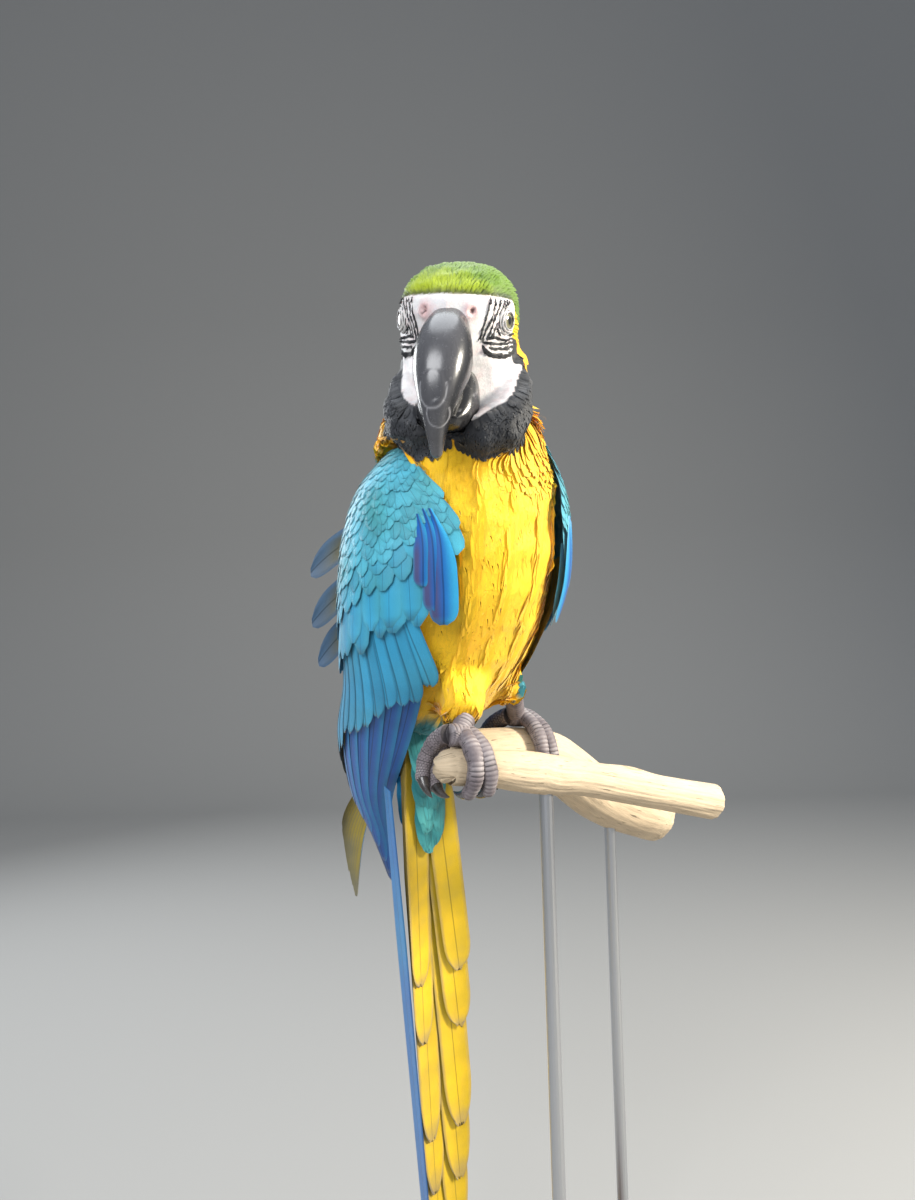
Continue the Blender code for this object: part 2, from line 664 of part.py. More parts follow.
def stand():
    width, depth, height = BASE_SIZE
    rings = []
    soft = BASE_EDGE / 2
    for level, inset in ((0.0, soft), (soft, 0.0), (height - BASE_EDGE, 0.0), (height, BASE_EDGE)):
        ring = []
        for corner, (x, y) in enumerate(((1, 1), (-1, 1), (-1, -1), (1, -1))):
            for share in shares(4):
                turn = math.radians(90 * (corner + share))
                reach = BASE_CORNER - inset
                ring.append(Vector((x * (width / 2 - BASE_CORNER) + reach * math.cos(turn),
                                    y * (depth / 2 - BASE_CORNER) + reach * math.sin(turn), level)))
        rings.append(ring)
    loft("stand_base", rings, "base")
    for name, (limb, share) in RODS.items():
        x, y, z = limb_curve(limb, share)
        rings = [[Vector((x + ROD_RADIUS * math.cos(turn), y + ROD_RADIUS * math.sin(turn), level))
                  for turn in turns(16)] for level in (height + GAP, z)]
        join(loft(name, rings, "steel"), [limb_body(limb, name + "_seat", GAP)], "DIFFERENCE")


def main():
    for old in list(bpy.data.objects):
        bpy.data.objects.remove(old)
    wings = {"right": (-1, RIGHT_WING), "left": (1, LEFT_WING)}
    for name, (side, rows) in wings.items():
        wing(name, side, rows)
    left_side = wing_room("left_wing_side", *wings["left"], -GAP)
    for feather in tertials():
        join(feather, [left_side], "DIFFERENCE")
    rooms = [wing_room(name + "_wing_room", side, rows, -WING_ROOM) for name, (side, rows) in wings.items()]
    bills = [upper_bill("upper_bill_room", GAP), lower_bill("lower_bill_room", GAP)]
    faces = [head_body("head_room", GAP), neck("neck_room", GAP)]
    join(throat(), bills + faces, "DIFFERENCE")
    join(upper_bill(), faces[:1], "DIFFERENCE")
    join(lower_bill(), bills[:1] + faces, "DIFFERENCE")
    eyes = []
    for name, side in (("left", 1), ("right", -1)):
        eye(name + "_eye", side)
        eyes.append(eye(name + "_eye_room", side, GAP))
    join(head_body(), eyes, "DIFFERENCE")
    join(neck(), rooms, "DIFFERENCE")
    join(trunk(), rooms, "DIFFERENCE")
    trunk_room = trunk("trunk_room", GAP)
    join(tail_base(), [trunk_room] + rooms, "DIFFERENCE")
    tail(rooms)
    for limb in LIMBS:
        limb_body(limb, "perch_" + limb)
    for side, foot in FEET.items():
        join(thigh(side + "_thigh", side), [trunk_room] + rooms, "DIFFERENCE")
        leg(side, foot)
    stand()


main()
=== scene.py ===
"""The looks of a life-size blue-and-yellow macaw on a cut perch with a display stand.

Sizes are in millimetres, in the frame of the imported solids: the origin is the centre
of the stand's underside and +Z is up. One skin replaces the solids of flesh. Every
feather over it is a thin closed vane, laid out by rule on the body, wings or tail.
"""
import math
from functools import partial

import bmesh
import bpy
import numpy as np
from mathutils import Matrix, Vector
from mathutils.bvhtree import BVHTree


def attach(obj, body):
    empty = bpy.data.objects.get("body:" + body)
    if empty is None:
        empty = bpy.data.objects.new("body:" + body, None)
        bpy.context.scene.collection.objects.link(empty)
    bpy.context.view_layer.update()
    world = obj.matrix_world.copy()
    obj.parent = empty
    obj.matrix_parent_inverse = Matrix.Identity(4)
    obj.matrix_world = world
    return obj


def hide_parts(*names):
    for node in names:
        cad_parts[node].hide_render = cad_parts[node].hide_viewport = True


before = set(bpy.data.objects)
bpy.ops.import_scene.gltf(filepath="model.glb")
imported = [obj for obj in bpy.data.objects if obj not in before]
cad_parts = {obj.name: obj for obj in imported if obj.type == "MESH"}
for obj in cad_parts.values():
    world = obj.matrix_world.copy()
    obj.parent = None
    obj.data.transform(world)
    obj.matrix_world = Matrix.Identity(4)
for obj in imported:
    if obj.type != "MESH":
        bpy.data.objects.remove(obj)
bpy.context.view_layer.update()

MM = 0.001
RANDOM = np.random.default_rng(7)

# --- Sizes shared with the solids ------------------------------------------------------

BODY_AT, BODY_YAW = (-27.0, -40.0, 0.0), 32.0
HEAD_AT, HEAD_YAW, HEAD_PITCH, HEAD_ROLL = (-22.0, -100.0, 706.5), -9.5, 15.0, 5.5
TAIL_AT, TAIL_LEAN, TAIL_SWING, TAIL_TURN = (-58.5, 11.0, 472.0), 10.0, 2.0, 38.0
EYE_OUT, EYE_RADIUS = 23.0, 8.0
BILL_ROOT, FACE_MIDDLE = (0, 27, -12), (0, 15, -10)     # left, forward, up on the head
# The heights over which the back turns from the body's to the head's, and the yellow ends.
NECK_TURN, BELLY_END = (640, 700), (492, 482)

CULMEN_CENTRE, CULMEN_RADIUS, UPPER_BILL_TIP = (10.0, -42.0), 49.0, -40.0
# The upper bill's rings: degrees along the culmen's arc, width, depth.
UPPER_BILL = [(82, 20, 27), (64, 26, 33), (46, 29.5, 36), (26, 28.5, 34), (6, 22, 28),
              (-10, 14.5, 20), (-23, 9.5, 13), (-33, 6, 6)]
# The lower bill's rings: forward, up, half width, height below and above.
LOWER_BILL = [(2, -42, 15, 15, 24), (14, -43, 16.5, 16, 21), (26, -46, 15, 12.5, 11),
              (33, -48.5, 11.5, 8, 5), (37, -50, 8, 3.5, 1.2)]

# A wing's level arcs, from the bend to the tip: height, the oval's centre (outward and
# forward), its half width and half depth, and its leading and back edges in degrees.
WINGS = {
    "right": (-1, [
        (642, 4, 16, 44, 34, 72, 125), (622, 1, 12, 62, 56, 53, 152), (596, 2, 7, 68, 62, 36, 167),
        (566, 3, 2, 69, 62, 31, 170), (536, 5, -8, 64, 58, 27, 172), (508, 8, -25, 54, 51, 20, 173),
        (475, 9, -60, 41, 46, 8, 174), (432, 3, -97, 25, 27, 0, 176), (396, -10, -117, 14, 11, 0, 178),
        (357, -26, -142, 4, 6, 0, 178)]),
    "left": (1, [
        (649, 5, 16, 49, 36, 58, 125), (622, 1, 12, 62, 57, 45, 152), (596, 1, 7, 68, 63, 38, 167),
        (566, 1, 2, 68, 63, 40, 170), (536, 1, -9, 62, 58, 46, 172), (508, 3, -28, 53, 54, 50, 174),
        (475, 5, -70, 38, 48, 50, 172), (438, 4, -116, 19, 25, 38, 172), (400, -2, -147, 14, 15, 50, 200),
        (344, -5, -160, 12, 13, 60, 212)]),
}
# The left wing's tertials: root and tip, as left, forward, up of the bird.
TERTIALS = [((22, -49, 612), (-61, -73, 609)), ((22, -58, 587), (-60, -75, 577)),
            ((20, -70, 562), (-55, -78, 552))]
TERTIAL_WIDTH, TERTIAL_DROOP, TERTIAL_ROWS, TERTIAL_COLUMNS = 20.0, 30.0, 30, 11

# The tail's pairs of feathers, from the outermost to the middle one: length, width, fan.
TAIL_PAIRS = [(165, 23, 13), (208, 24, 12), (283, 25, 10), (325, 25, 8.5), (368, 25, 6.5), (440, 24, 4)]
TAIL_STEP, TAIL_GUTTER, TAIL_HALF_WIDTH, TAIL_THICK = 1.2, 7.0, 26.0, 0.5
TAIL_ROWS, TAIL_COLUMNS, TAIL_COVERTS, TAIL_COVERT_ROWS = 90, 17, 60, 12
TAIL_COVERT_HALF_WIDTH, TAIL_COVERT_RISE, TAIL_COVERT_END = 17, 16, 0.62
# The middle feather that lies rolled at the edge: its place to the left and towards the
# belly, its degrees of roll and its width. ROLLED_ROOT is how far down it begins.
ROLLED, ROLLED_ROOT = (-24.5, 6.0, 75.0, 22.0), 28.0

# The two lengths of driftwood: points of the axis and their radii.
LIMBS = {
    "near_limb": [(-32, -83, 465, 8.5), (-30, -82, 465, 10.2), (-10, -70, 462, 10.4), (12, -56, 457, 11.8),
                  (26, -47, 453.5, 11.6), (50, -33, 448, 10.4), (96, -4, 434, 10.8), (140, 24, 421, 11.4)],
    "far_limb": [(-20, -21, 462, 13), (-17, -18, 462, 16), (14, 8, 459, 16.5), (36, 28, 450, 17.5),
                 (72, 68, 419, 19), (112, 110, 398, 20), (122, 118, 393, 19)],
}
# Each knot: its limb, the share along it, degrees round it, and height.
KNOTS = [("near_limb", 0.36, 200, 3.2), ("near_limb", 0.80, 80, 1.8), ("far_limb", 0.50, 150, 3.6)]
# Each foot: its limb, the share along it, the toes' radius, and the knee on the bird.
FEET = {
    "right": dict(limb="near_limb", at=0.145, toe=5.0, knee=(-13, 29, 490)),
    "left": dict(limb="far_limb", at=0.30, toe=4.9, knee=(43, -3, 499)),
}
# Each toe: along the limb at its root and at its tip, and the degrees that it goes round it.
TOES = [(3.0, 6.0, 158), (8.0, 17.0, 146), (-1.0, -5.0, -150), (-5.0, -12.0, -128)]
# The palm runs from and to these places along the limb, with this radius.
PALM, SHANK_RADIUS = (-5.0, 8.0, 6.5), 5.6
CLAW_ARC, CLAW_LIFT, CLAW_CLEAR, CLAW_ROOT = 48.0, 0.7, 4.0, 8.0
FOOT_RING_PITCH, FOOT_COLUMNS, SCALE_RELIEF = 0.55, 56, 0.5
CLAW_MESH, LIMB_MESH = (36, 24), (260, 120)

# --- Colours, linear ---------------------------------------------------------------------

LIME = (0.40, 0.50, 0.012)
GREEN = (0.115, 0.22, 0.006)
YELLOW = (0.98, 0.62, 0.004)
ORANGE = (0.92, 0.44, 0.004)
BLACK = (0.012, 0.013, 0.016)
CHARCOAL = (0.030, 0.033, 0.040)
WHITE = (0.72, 0.70, 0.70)
PINK = (0.62, 0.36, 0.36)
TURQUOISE = (0.085, 0.44, 0.56)
CYAN = (0.025, 0.34, 0.62)
DEEP_BLUE = (0.006, 0.12, 0.46)
VIOLET = (0.045, 0.06, 0.40)
NAVY = (0.006, 0.022, 0.075)
TEAL = (0.015, 0.20, 0.22)
OLIVE = (0.42, 0.31, 0.02)
GREY_OLIVE = (0.20, 0.18, 0.10)
DULL_YELLOW = (0.88, 0.56, 0.02)
RUST = (0.45, 0.10, 0.006)
DARK_GREEN = (0.03, 0.04, 0.015)
SEA_GREEN = (0.06, 0.33, 0.34)
BRIGHT_TEAL = (0.10, 0.50, 0.50)
GOLD, OLD_GOLD, WORN_GOLD = (0.80, 0.52, 0.012), (0.58, 0.40, 0.02), (0.26, 0.21, 0.14)
BROWN_OLIVE, SLATE_BLUE, PLUM = (0.24, 0.19, 0.07), (0.16, 0.24, 0.36), (0.10, 0.07, 0.13)
NOSTRIL_SHADE = (0.06, 0.02, 0.02)
PUPIL, IRIS, PALE_IRIS, EYE_BLACK = ((0.004, 0.004, 0.005), (0.17, 0.16, 0.09), (0.34, 0.33, 0.22),
                                     (0.03, 0.028, 0.028))
LID_PALE, LID_GREY = (0.58, 0.56, 0.55), (0.20, 0.19, 0.19)
HORN, HORN_GREY, HORN_PALE = (0.016, 0.016, 0.018), (0.10, 0.10, 0.11), (0.30, 0.30, 0.32)
CLAW_BLACK, CLAW_BROWN = (0.012, 0.011, 0.011), (0.07, 0.06, 0.055)
FOOT_GREY, FOOT_PALE, FOOT_GROOVE_SHADE = (0.16, 0.135, 0.145), (0.42, 0.38, 0.38), (0.035, 0.030, 0.033)
WOOD, WOOD_DARK = (0.64, 0.51, 0.35), (0.30, 0.21, 0.13)
STAND_DARK, STAND_LIGHT, STEEL = (0.035, 0.017, 0.009), (0.115, 0.058, 0.028), (0.55, 0.56, 0.58)
FLOOR, SKY = (0.30, 0.30, 0.295), (0.80, 0.86, 0.95)


# --- Frames and curves -------------------------------------------------------------------

def matrix(at, *turns):
    made = Matrix.Translation(at)
    for degrees, axis in turns:
        made = made @ Matrix.Rotation(math.radians(degrees), 4, axis)
    return np.array(made)


BIRD = matrix(BODY_AT, (BODY_YAW - 180, "Z"))
HEAD = matrix(HEAD_AT, (HEAD_YAW - 180, "Z"), (-HEAD_PITCH, "X"), (-HEAD_ROLL, "Y"))
TAIL = matrix(TAIL_AT, (-TAIL_SWING, "Y"), (TAIL_LEAN, "X"), (TAIL_TURN, "Z"))
MIRROR = np.array([-1.0, 1.0, 1.0])         # the frames' own x axis runs to the right


def placed(axes, points):
    """Points carried from a frame's own axes to the world's."""
    return points @ axes[:3, :3].T + axes[:3, 3]


def to_world(axes, points):
    """Points given as left, forward, up of the bird or its head."""
    return placed(axes, np.asarray(points, float) * MIRROR)


def from_world(axes, points):
    """The left, forward, up of points given in the world."""
    return ((np.asarray(points, float) - axes[:3, 3]) @ axes[:3, :3]) * MIRROR


def turned(axes, vectors):
    """Directions given as left, forward, up."""
    return (np.asarray(vectors, float) * MIRROR) @ axes[:3, :3].T


def smooth(rows, share):
    """The rows read at shares of the way through them, on a Catmull-Rom curve."""
    rows = np.asarray(rows, float)
    place = np.clip(share, 0.0, 1.0) * (len(rows) - 1)
    first = np.minimum(place.astype(int) if np.ndim(place) else int(place), len(rows) - 2)
    t = np.asarray(place - first)[..., None]
    start, end = rows[first], rows[first + 1]
    before, after = rows[np.maximum(first - 1, 0)], rows[np.minimum(first + 2, len(rows) - 1)]
    return 0.5 * (2 * start + (end - before) * t + (2 * before - 5 * start + 4 * end - after) * t ** 2
                  + (3 * start - before - 3 * end + after) * t ** 3)


def read(rows, share):
    """As smooth, with one array for each column of the rows."""
    return np.moveaxis(smooth(rows, share), -1, 0)


def step(low, high, value):
    """0 below low, 1 above high, and a smooth rise between them."""
    t = np.clip((np.asarray(value, float) - low) / (high - low), 0.0, 1.0)
    return t * t * (3 - 2 * t)


def peak(value, middle, width):
    """1 at the middle, and a smooth fall to 0 on both sides."""
    return np.exp(-((value - middle) / width) ** 2)


def unit(vectors):
    return vectors / np.maximum(np.linalg.norm(vectors, axis=-1, keepdims=True), 1e-9)


def levelled(vectors, normals):
    """Vectors without the part of them that runs along the unit normals."""
    return vectors - normals * (vectors * normals).sum(-1, keepdims=True)


def mix(a, b, share):
    share = np.asarray(share, float)[..., None]
    return np.asarray(a, float) * (1 - share) + np.asarray(b, float) * share


def waves(points, pitch, seed=0.0):
    """A smooth wandering value from about -1 to 1, with features of about the pitch."""
    x, y, z = np.moveaxis(np.asarray(points, float) / pitch, -1, 0)
    return (np.sin(x * 2.1 + 1.7 * np.sin(y * 1.3 + seed) + seed)
            + np.sin(y * 2.3 + 1.5 * np.sin(z * 1.7 + 2 * seed))
            + np.sin(z * 1.9 + 1.6 * np.sin(x * 1.1 + 3 * seed))) / 3.0


def cloud(points, pitch, middle, amount, seed=0.0):
    """A share from 0 to 1 that wanders by an amount about its middle."""
    return np.clip(middle + amount * waves(points, pitch, seed), 0, 1)


# --- Materials -----------------------------------------------------------------------------

def node(tree, kind, values=None, **settings):
    """A node whose inputs are set from values, or linked where a value is a socket."""
    made = tree.nodes.new(kind)
    for name, value in settings.items():
        setattr(made, name, value)
    for key, value in (values or {}).items():
        if isinstance(value, bpy.types.NodeSocket):
            tree.links.new(value, made.inputs[key])
        else:
            made.inputs[key].default_value = value
    return made


def math_node(tree, operation, *values):
    return node(tree, "ShaderNodeMath", dict(enumerate(values)), operation=operation).outputs[0]


def principled(name, **sockets):
    """A material's tree and its Principled shader, with sockets named in lower case."""
    made = bpy.data.materials.new(name)
    made.use_nodes = True
    shader = made.node_tree.nodes["Principled BSDF"]
    for key, value in sockets.items():
        socket = shader.inputs[key.replace("_", " ").title().replace("Ior", "IOR")]
        socket.default_value = (*value, 1.0) if socket.type == "RGBA" else value
    return made, made.node_tree, shader


def object_place(tree):
    return node(tree, "ShaderNodeTexCoord").outputs["Object"]


def noise(tree, vector, scale, detail, **more):
    """Noise from 0 to 1; more names its other inputs."""
    return node(tree, "ShaderNodeTexNoise",
                {"Vector": vector, "Scale": scale, "Detail": detail, **more}).outputs["Fac"]


def stretched(tree, vector, scale):
    return node(tree, "ShaderNodeMapping", {"Vector": vector, "Scale": scale}).outputs["Vector"]


def paint(tree, shader, amount=None):
    """Gives a shader the painted colours, made lighter and darker by an amount."""
    colour = node(tree, "ShaderNodeAttribute", attribute_name="plumage",
                  attribute_type="GEOMETRY").outputs["Color"]
    if amount is not None:
        colour = node(tree, "ShaderNodeHueSaturation", {"Color": colour, "Value": amount}).outputs["Color"]
    tree.links.new(colour, shader.inputs["Base Color"])


def spread(tree, value, low, high):
    """A value from 0 to 1 carried to the range from low to high."""
    return math_node(tree, "MULTIPLY_ADD", value, high - low, low)


def bump(tree, shader, height, strength, distance):
    made = node(tree, "ShaderNodeBump", {"Height": height, "Strength": strength, "Distance": distance * MM})
    tree.links.new(made.outputs["Normal"], shader.inputs["Normal"])


def feather_material(name, barb_pitch, slant, depth, roughness=0.55, shaft=0.0, sheen=0.25):
    """Vanes: painted colour, with barbs that run out from the shaft, some parted."""
    made, tree, shader = principled(name, roughness=roughness, specular_ior_level=0.35, sheen_weight=sheen,
                                    sheen_roughness=0.45)
    lie = node(tree, "ShaderNodeUVMap", uv_map="lie").outputs["UV"]
    parts = node(tree, "ShaderNodeSeparateXYZ", {"Vector": lie})
    across = math_node(tree, "ABSOLUTE", parts.outputs["X"])
    along = math_node(tree, "SUBTRACT", parts.outputs["Y"], math_node(tree, "MULTIPLY", across, slant))
    place = object_place(tree)
    turn = math_node(tree, "MULTIPLY", along, 2 * math.pi / barb_pitch)
    parted = math_node(tree, "MULTIPLY_ADD", noise(tree, place, 420.0, 2.0), 1.6, turn)
    barbs = math_node(tree, "MULTIPLY_ADD", math_node(tree, "SINE", parted), 0.5, 0.5)
    patch = spread(tree, noise(tree, place, 60.0, 3.0), 0.82, 1.2)
    value = math_node(tree, "MULTIPLY", spread(tree, barbs, 1 - depth, 1 + 0.4 * depth), patch)
    if shaft:
        quill = math_node(tree, "LESS_THAN", across, shaft)
        value = math_node(tree, "MULTIPLY", value, spread(tree, quill, 1.0, 0.55))
    paint(tree, shader, value)
    bump(tree, shader, barbs, 0.35, 0.12)
    return made


def skin_material():
    """Bare face and the skin under the feathers: fine pores and folds."""
    made, tree, shader = principled("skin", roughness=0.52, specular_ior_level=0.4, subsurface_weight=0.06,
                                    subsurface_radius=(1.0, 0.4, 0.25), subsurface_scale=0.002)
    place = object_place(tree)
    pores = node(tree, "ShaderNodeTexVoronoi", {"Vector": place, "Scale": 1100.0}).outputs["Distance"]
    folds = noise(tree, place, 260.0, 4.0)
    paint(tree, shader, math_node(tree, "MULTIPLY", spread(tree, folds, 0.86, 1.12),
                                  spread(tree, pores, 0.93, 1.06)))
    bump(tree, shader, math_node(tree, "ADD", folds, math_node(tree, "MULTIPLY", pores, 0.6)), 0.5, 0.25)
    return made


def step_node(tree, value, low, high):
    return node(tree, "ShaderNodeMapRange", {"Value": value, "From Min": low, "From Max": high},
                interpolation_type="SMOOTHSTEP").outputs["Result"]


def horn_material():
    """Polished black horn with growth lines and worn, paler scuffs."""
    made, tree, shader = principled("black_horn", roughness=0.3, specular_ior_level=0.6, coat_weight=0.25,
                                    coat_roughness=0.22)
    place = object_place(tree)
    lines = noise(tree, stretched(tree, place, (1.0, 1.0, 0.16)), 900.0, 3.0)
    scuffs = noise(tree, place, 320.0, 5.0, Roughness=0.7)
    worn = math_node(tree, "MULTIPLY", step_node(tree, scuffs, 0.56, 0.74), 0.5)
    paint(tree, shader, math_node(tree, "ADD", spread(tree, lines, 0.7, 1.3), worn))
    tree.links.new(math_node(tree, "MULTIPLY_ADD", worn, 0.5, 0.26), shader.inputs["Roughness"])
    bump(tree, shader, math_node(tree, "ADD", lines, scuffs), 0.25, 0.12)
    return made


def foot_material():
    made, tree, shader = principled("foot_scales", roughness=0.62, specular_ior_level=0.35)
    grain = noise(tree, object_place(tree), 700.0, 4.0)
    paint(tree, shader, spread(tree, grain, 0.75, 1.25))
    bump(tree, shader, grain, 0.3, 0.15)
    return made


def wood_material():
    """Bare driftwood: grain along the limb, small cracks, darker knots."""
    made, tree, shader = principled("driftwood", roughness=0.72, specular_ior_level=0.3)
    grain = node(tree, "ShaderNodeUVMap", uv_map="grain").outputs["UV"]
    drawn = stretched(tree, grain, (1.0, 0.09, 1.0))
    fibres = noise(tree, drawn, 1.5, 6.0, Roughness=0.65, Distortion=0.6)
    split = step_node(tree, noise(tree, drawn, 0.9, 2.0), 0.66, 0.70)
    blotch = spread(tree, noise(tree, grain, 0.07, 3.0), 0.8, 1.2)
    value = math_node(tree, "MULTIPLY", spread(tree, fibres, 0.62, 1.32), blotch)
    paint(tree, shader, math_node(tree, "MULTIPLY", value, spread(tree, split, 1.0, 0.42)))
    bump(tree, shader, math_node(tree, "SUBTRACT", fibres, split), 0.6, 0.5)
    return made


def eye_material():
    made, tree, shader = principled("eyeball", roughness=0.08, coat_weight=1.0, coat_roughness=0.02)
    paint(tree, shader)
    return made


# --- Meshes --------------------------------------------------------------------------------

def linked(name, data):
    """A new object of the data, in the scene."""
    made = bpy.data.objects.new(name, data)
    bpy.context.scene.collection.objects.link(made)
    return made


def mesh_from(name, points, loops, starts, colours, maps, material):
    """An object from points in millimetres, face corners and each corner's colour."""
    mesh = bpy.data.meshes.new(name)
    mesh.vertices.add(len(points))
    mesh.vertices.foreach_set("co", np.ascontiguousarray(points * MM, np.float32).ravel())
    mesh.loops.add(len(loops))
    mesh.loops.foreach_set("vertex_index", loops.astype(np.int32))
    mesh.polygons.add(len(starts))
    mesh.polygons.foreach_set("loop_start", starts.astype(np.int32))
    mesh.update(calc_edges=True)
    layer = mesh.color_attributes.new("plumage", "FLOAT_COLOR", "CORNER")
    rgba = np.ones((len(loops), 4), np.float32)
    rgba[:, :3] = np.clip(colours, 0.0, 1.0)
    layer.data.foreach_set("color", rgba.ravel())
    for key, uv in maps.items():
        mesh.uv_layers.new(name=key).data.foreach_set("uv", np.ascontiguousarray(uv, np.float32).ravel())
    mesh.shade_smooth()
    mesh.materials.append(material)
    return linked(name, mesh)


def dress(made, slot, *nodes):
    """Says what a finished piece rides on and the solids that it replaces; its slot is not used."""
    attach(made, "root")
    if nodes:
        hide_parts(*nodes)
    return made


PATCH = 0.003                   # a vane's share of its coat's baked map
VANE_EDGE = 75.0                # degrees between faces that shade apart, at a vane's rim
VANE_PIECE = 190000             # the most triangles in one piece


def vanes(name, grid, tint, lie, material, under=None, under_tint=None, roots=None):
    """One mesh of closed vanes from a grid of points for each: vane, row, column. The
    underside runs from edge to edge, or through the points of under. lie holds each
    point's place from the shaft and from the root, in millimetres, and roots the places
    on the bake map."""
    count, rows, columns, _ = grid.shape
    at = np.arange(rows * columns).reshape(rows, columns)
    top = np.stack([at[:-1, :-1], at[:-1, 1:], at[1:, 1:], at[1:, :-1]], -1).reshape(-1, 4)
    points = grid.reshape(count, -1, 3)
    if under is None:
        back = np.stack([at[:-1, 0], at[1:, 0], at[1:, -1], at[:-1, -1]], -1)
        ends = [at[0, ::-1], at[-1]]
        back_tint, end_tint = back, ends
    else:
        below = at.copy()
        below[:, 1:-1] = rows * columns + np.arange(rows * (columns - 2)).reshape(rows, -1)
        points = np.concatenate([points, under[:, :, 1:-1].reshape(count, -1, 3)], 1)
        back, back_tint = (np.stack([b[:-1, :-1], b[1:, :-1], b[1:, 1:], b[:-1, 1:]], -1).reshape(-1, 4)
                           for b in (below, at))
        ends, end_tint = ([np.concatenate([at[0, ::-1], b[0, 1:-1]]),
                           np.concatenate([at[-1], b[-1, -2:0:-1]])] for b in (below, at))
    corner = np.concatenate([top.ravel(), back.ravel(), *ends])
    paint = np.concatenate([top.ravel(), back_tint.ravel(), *end_tint])
    is_top = np.zeros(len(corner), bool)
    is_top[:top.size] = True
    sizes = np.concatenate([np.full(len(top) + len(back), 4), [len(ends[0]), len(ends[1])]])
    starts = np.concatenate([[0], np.cumsum(sizes)[:-1]])
    tint = tint.reshape(count, -1, 3)
    lower = tint if under_tint is None else under_tint.reshape(count, -1, 3)
    colours = np.where(is_top[None, :, None], tint[:, paint], lower[:, paint]).reshape(-1, 3)
    number = np.arange(count)[:, None]
    loops = (corner[None] + points.shape[1] * number).ravel()
    all_starts = (starts[None] + len(corner) * number).ravel()
    maps = {}
    if roots is not None:
        row, column = np.divmod(paint, columns)
        side = 0.5 * column / (columns - 1) + np.where(is_top, 0.0, 0.5)
        patch = np.stack([side, row / (rows - 1)], -1) * PATCH
        maps["OFBake"] = (roots[:, None] + patch[None]).reshape(-1, 2)
    maps["lie"] = lie.reshape(count, -1, 2)[:, paint].reshape(-1, 2)
    made = mesh_from(name, points.reshape(-1, 3), loops, all_starts, colours, maps, material)
    made.data.set_sharp_from_angle(angle=math.radians(VANE_EDGE))
    return made


def face_outward(points, quads, middles):
    """Whether four-cornered faces turn away from the middles that go with them."""
    first = points[quads[:, 0]]
    normals = np.cross(points[quads[:, 1]] - first, points[quads[:, 3]] - first)
    return (normals * (first - middles)).sum() >= 0


def tube_mesh(name, place, tint, rows, columns, material, high=None, scale=(1.0, 1.0)):
    """A closed tube from place(along, around), both as grids of shares, with a fan to a
    point at each end, and a map "grain" in millimetres, round it and along it."""
    along, around = np.meshgrid(np.linspace(0, 1, rows), np.arange(columns) / columns, indexing="ij")
    rings = place(along, around)
    high = rings[-1].mean(0) if high is None else high
    at = np.arange(rows * columns).reshape(rows, columns)
    beside = np.roll(at, -1, 1)
    quads = np.stack([at[:-1], beside[:-1], beside[1:], at[1:]], -1).reshape(-1, 4)
    tips = np.concatenate([np.stack([beside[0], at[0], np.full(columns, at.size)], -1),
                           np.stack([at[-1], beside[-1], np.full(columns, at.size + 1)], -1)])
    points = np.concatenate([rings.reshape(-1, 3), [rings[0].mean(0)], [high]])
    if not face_outward(points, quads, np.repeat(rings.mean(1)[:-1], columns, 0)):
        quads, tips = quads[:, ::-1], tips[:, ::-1]
    loops = np.concatenate([quads.ravel(), tips.ravel()])
    starts = np.concatenate([4 * np.arange(len(quads)), 4 * len(quads) + 3 * np.arange(len(tips))])
    shade = tint(along, around, rings).reshape(-1, 3)
    shade = np.concatenate([shade, shade[:1], shade[-1:]])
    flat = np.stack([around * scale[0], along * scale[1]], -1).reshape(-1, 2)
    flat = np.concatenate([flat, [[0.5 * scale[0], 0.0]], [[0.5 * scale[0], scale[1]]]])
    corner_uv = flat[loops]
    wrap = quads % columns
    jump = (wrap.max(1) - wrap.min(1) > columns // 2)[:, None] & (wrap < columns // 2)
    corner_uv[:quads.size, 0] += jump.ravel() * scale[0]
    return mesh_from(name, points, loops, starts, shade[loops], {"grain": corner_uv}, material)


def ring_mesh(name, place, tint, rounds, columns, material):
    """A closed ring from place(along, around), both as grids of shares."""
    along, around = np.meshgrid(np.arange(rounds) / rounds, np.arange(columns) / columns, indexing="ij")
    rings = place(along, around)
    at = np.arange(rounds * columns).reshape(rounds, columns)
    beside = np.roll(at, -1, 1)
    quads = np.stack([at, beside, np.roll(beside, -1, 0), np.roll(at, -1, 0)], -1).reshape(-1, 4)
    points = rings.reshape(-1, 3)
    if not face_outward(points, quads, np.repeat(rings.mean(1), columns, 0)):
        quads = quads[:, ::-1]
    loops = quads.ravel()
    shade = tint(along, around).reshape(-1, 3)
    return mesh_from(name, points, loops, 4 * np.arange(len(quads)), shade[loops], {}, material)


# --- Markings ------------------------------------------------------------------------------

# The beard goes round under the bill: left, forward, up and radius, on the head.
BEARD = [(29, -18, -18, 3.5), (32, -9, -30, 7), (31, 4, -44, 11.5), (24, 15, -56, 15), (10, 20, -58, 12.5),
         (0, 21, -56, 10.5)]
BEARD_SWING = 3.5               # it lies this far to the left, pressed by the turned head
# Its lower border: heights at distances out from its middle.
BEARD_HEM = ([0, 6, 12, 20, 30, 40], [-60.0, -62.0, -65.0, -66.5, -65.0, -58.0])
NOT_BEARD = -9.0                # a depth well outside it
# The bare cheek ends behind at CHEEK_REAR, and below as the beard does, at heights out from
# the beard's middle.
CHEEK_REAR = -10.0
CHEEK_HEM = ([9, 15, 20.5, 27, 30.5, 31.5, 34], [-51.5, -49.0, -45.0, -41.5, -37.0, -30.0, -20.0])
CHEEK_TOP = 30.0                # above this height nothing on the head is bare
CROWN_EDGE, CROWN_FALL = 11.8, 18.0
NOSTRIL = (12.6, 21.8, 3.4)     # out, forward and up on the head


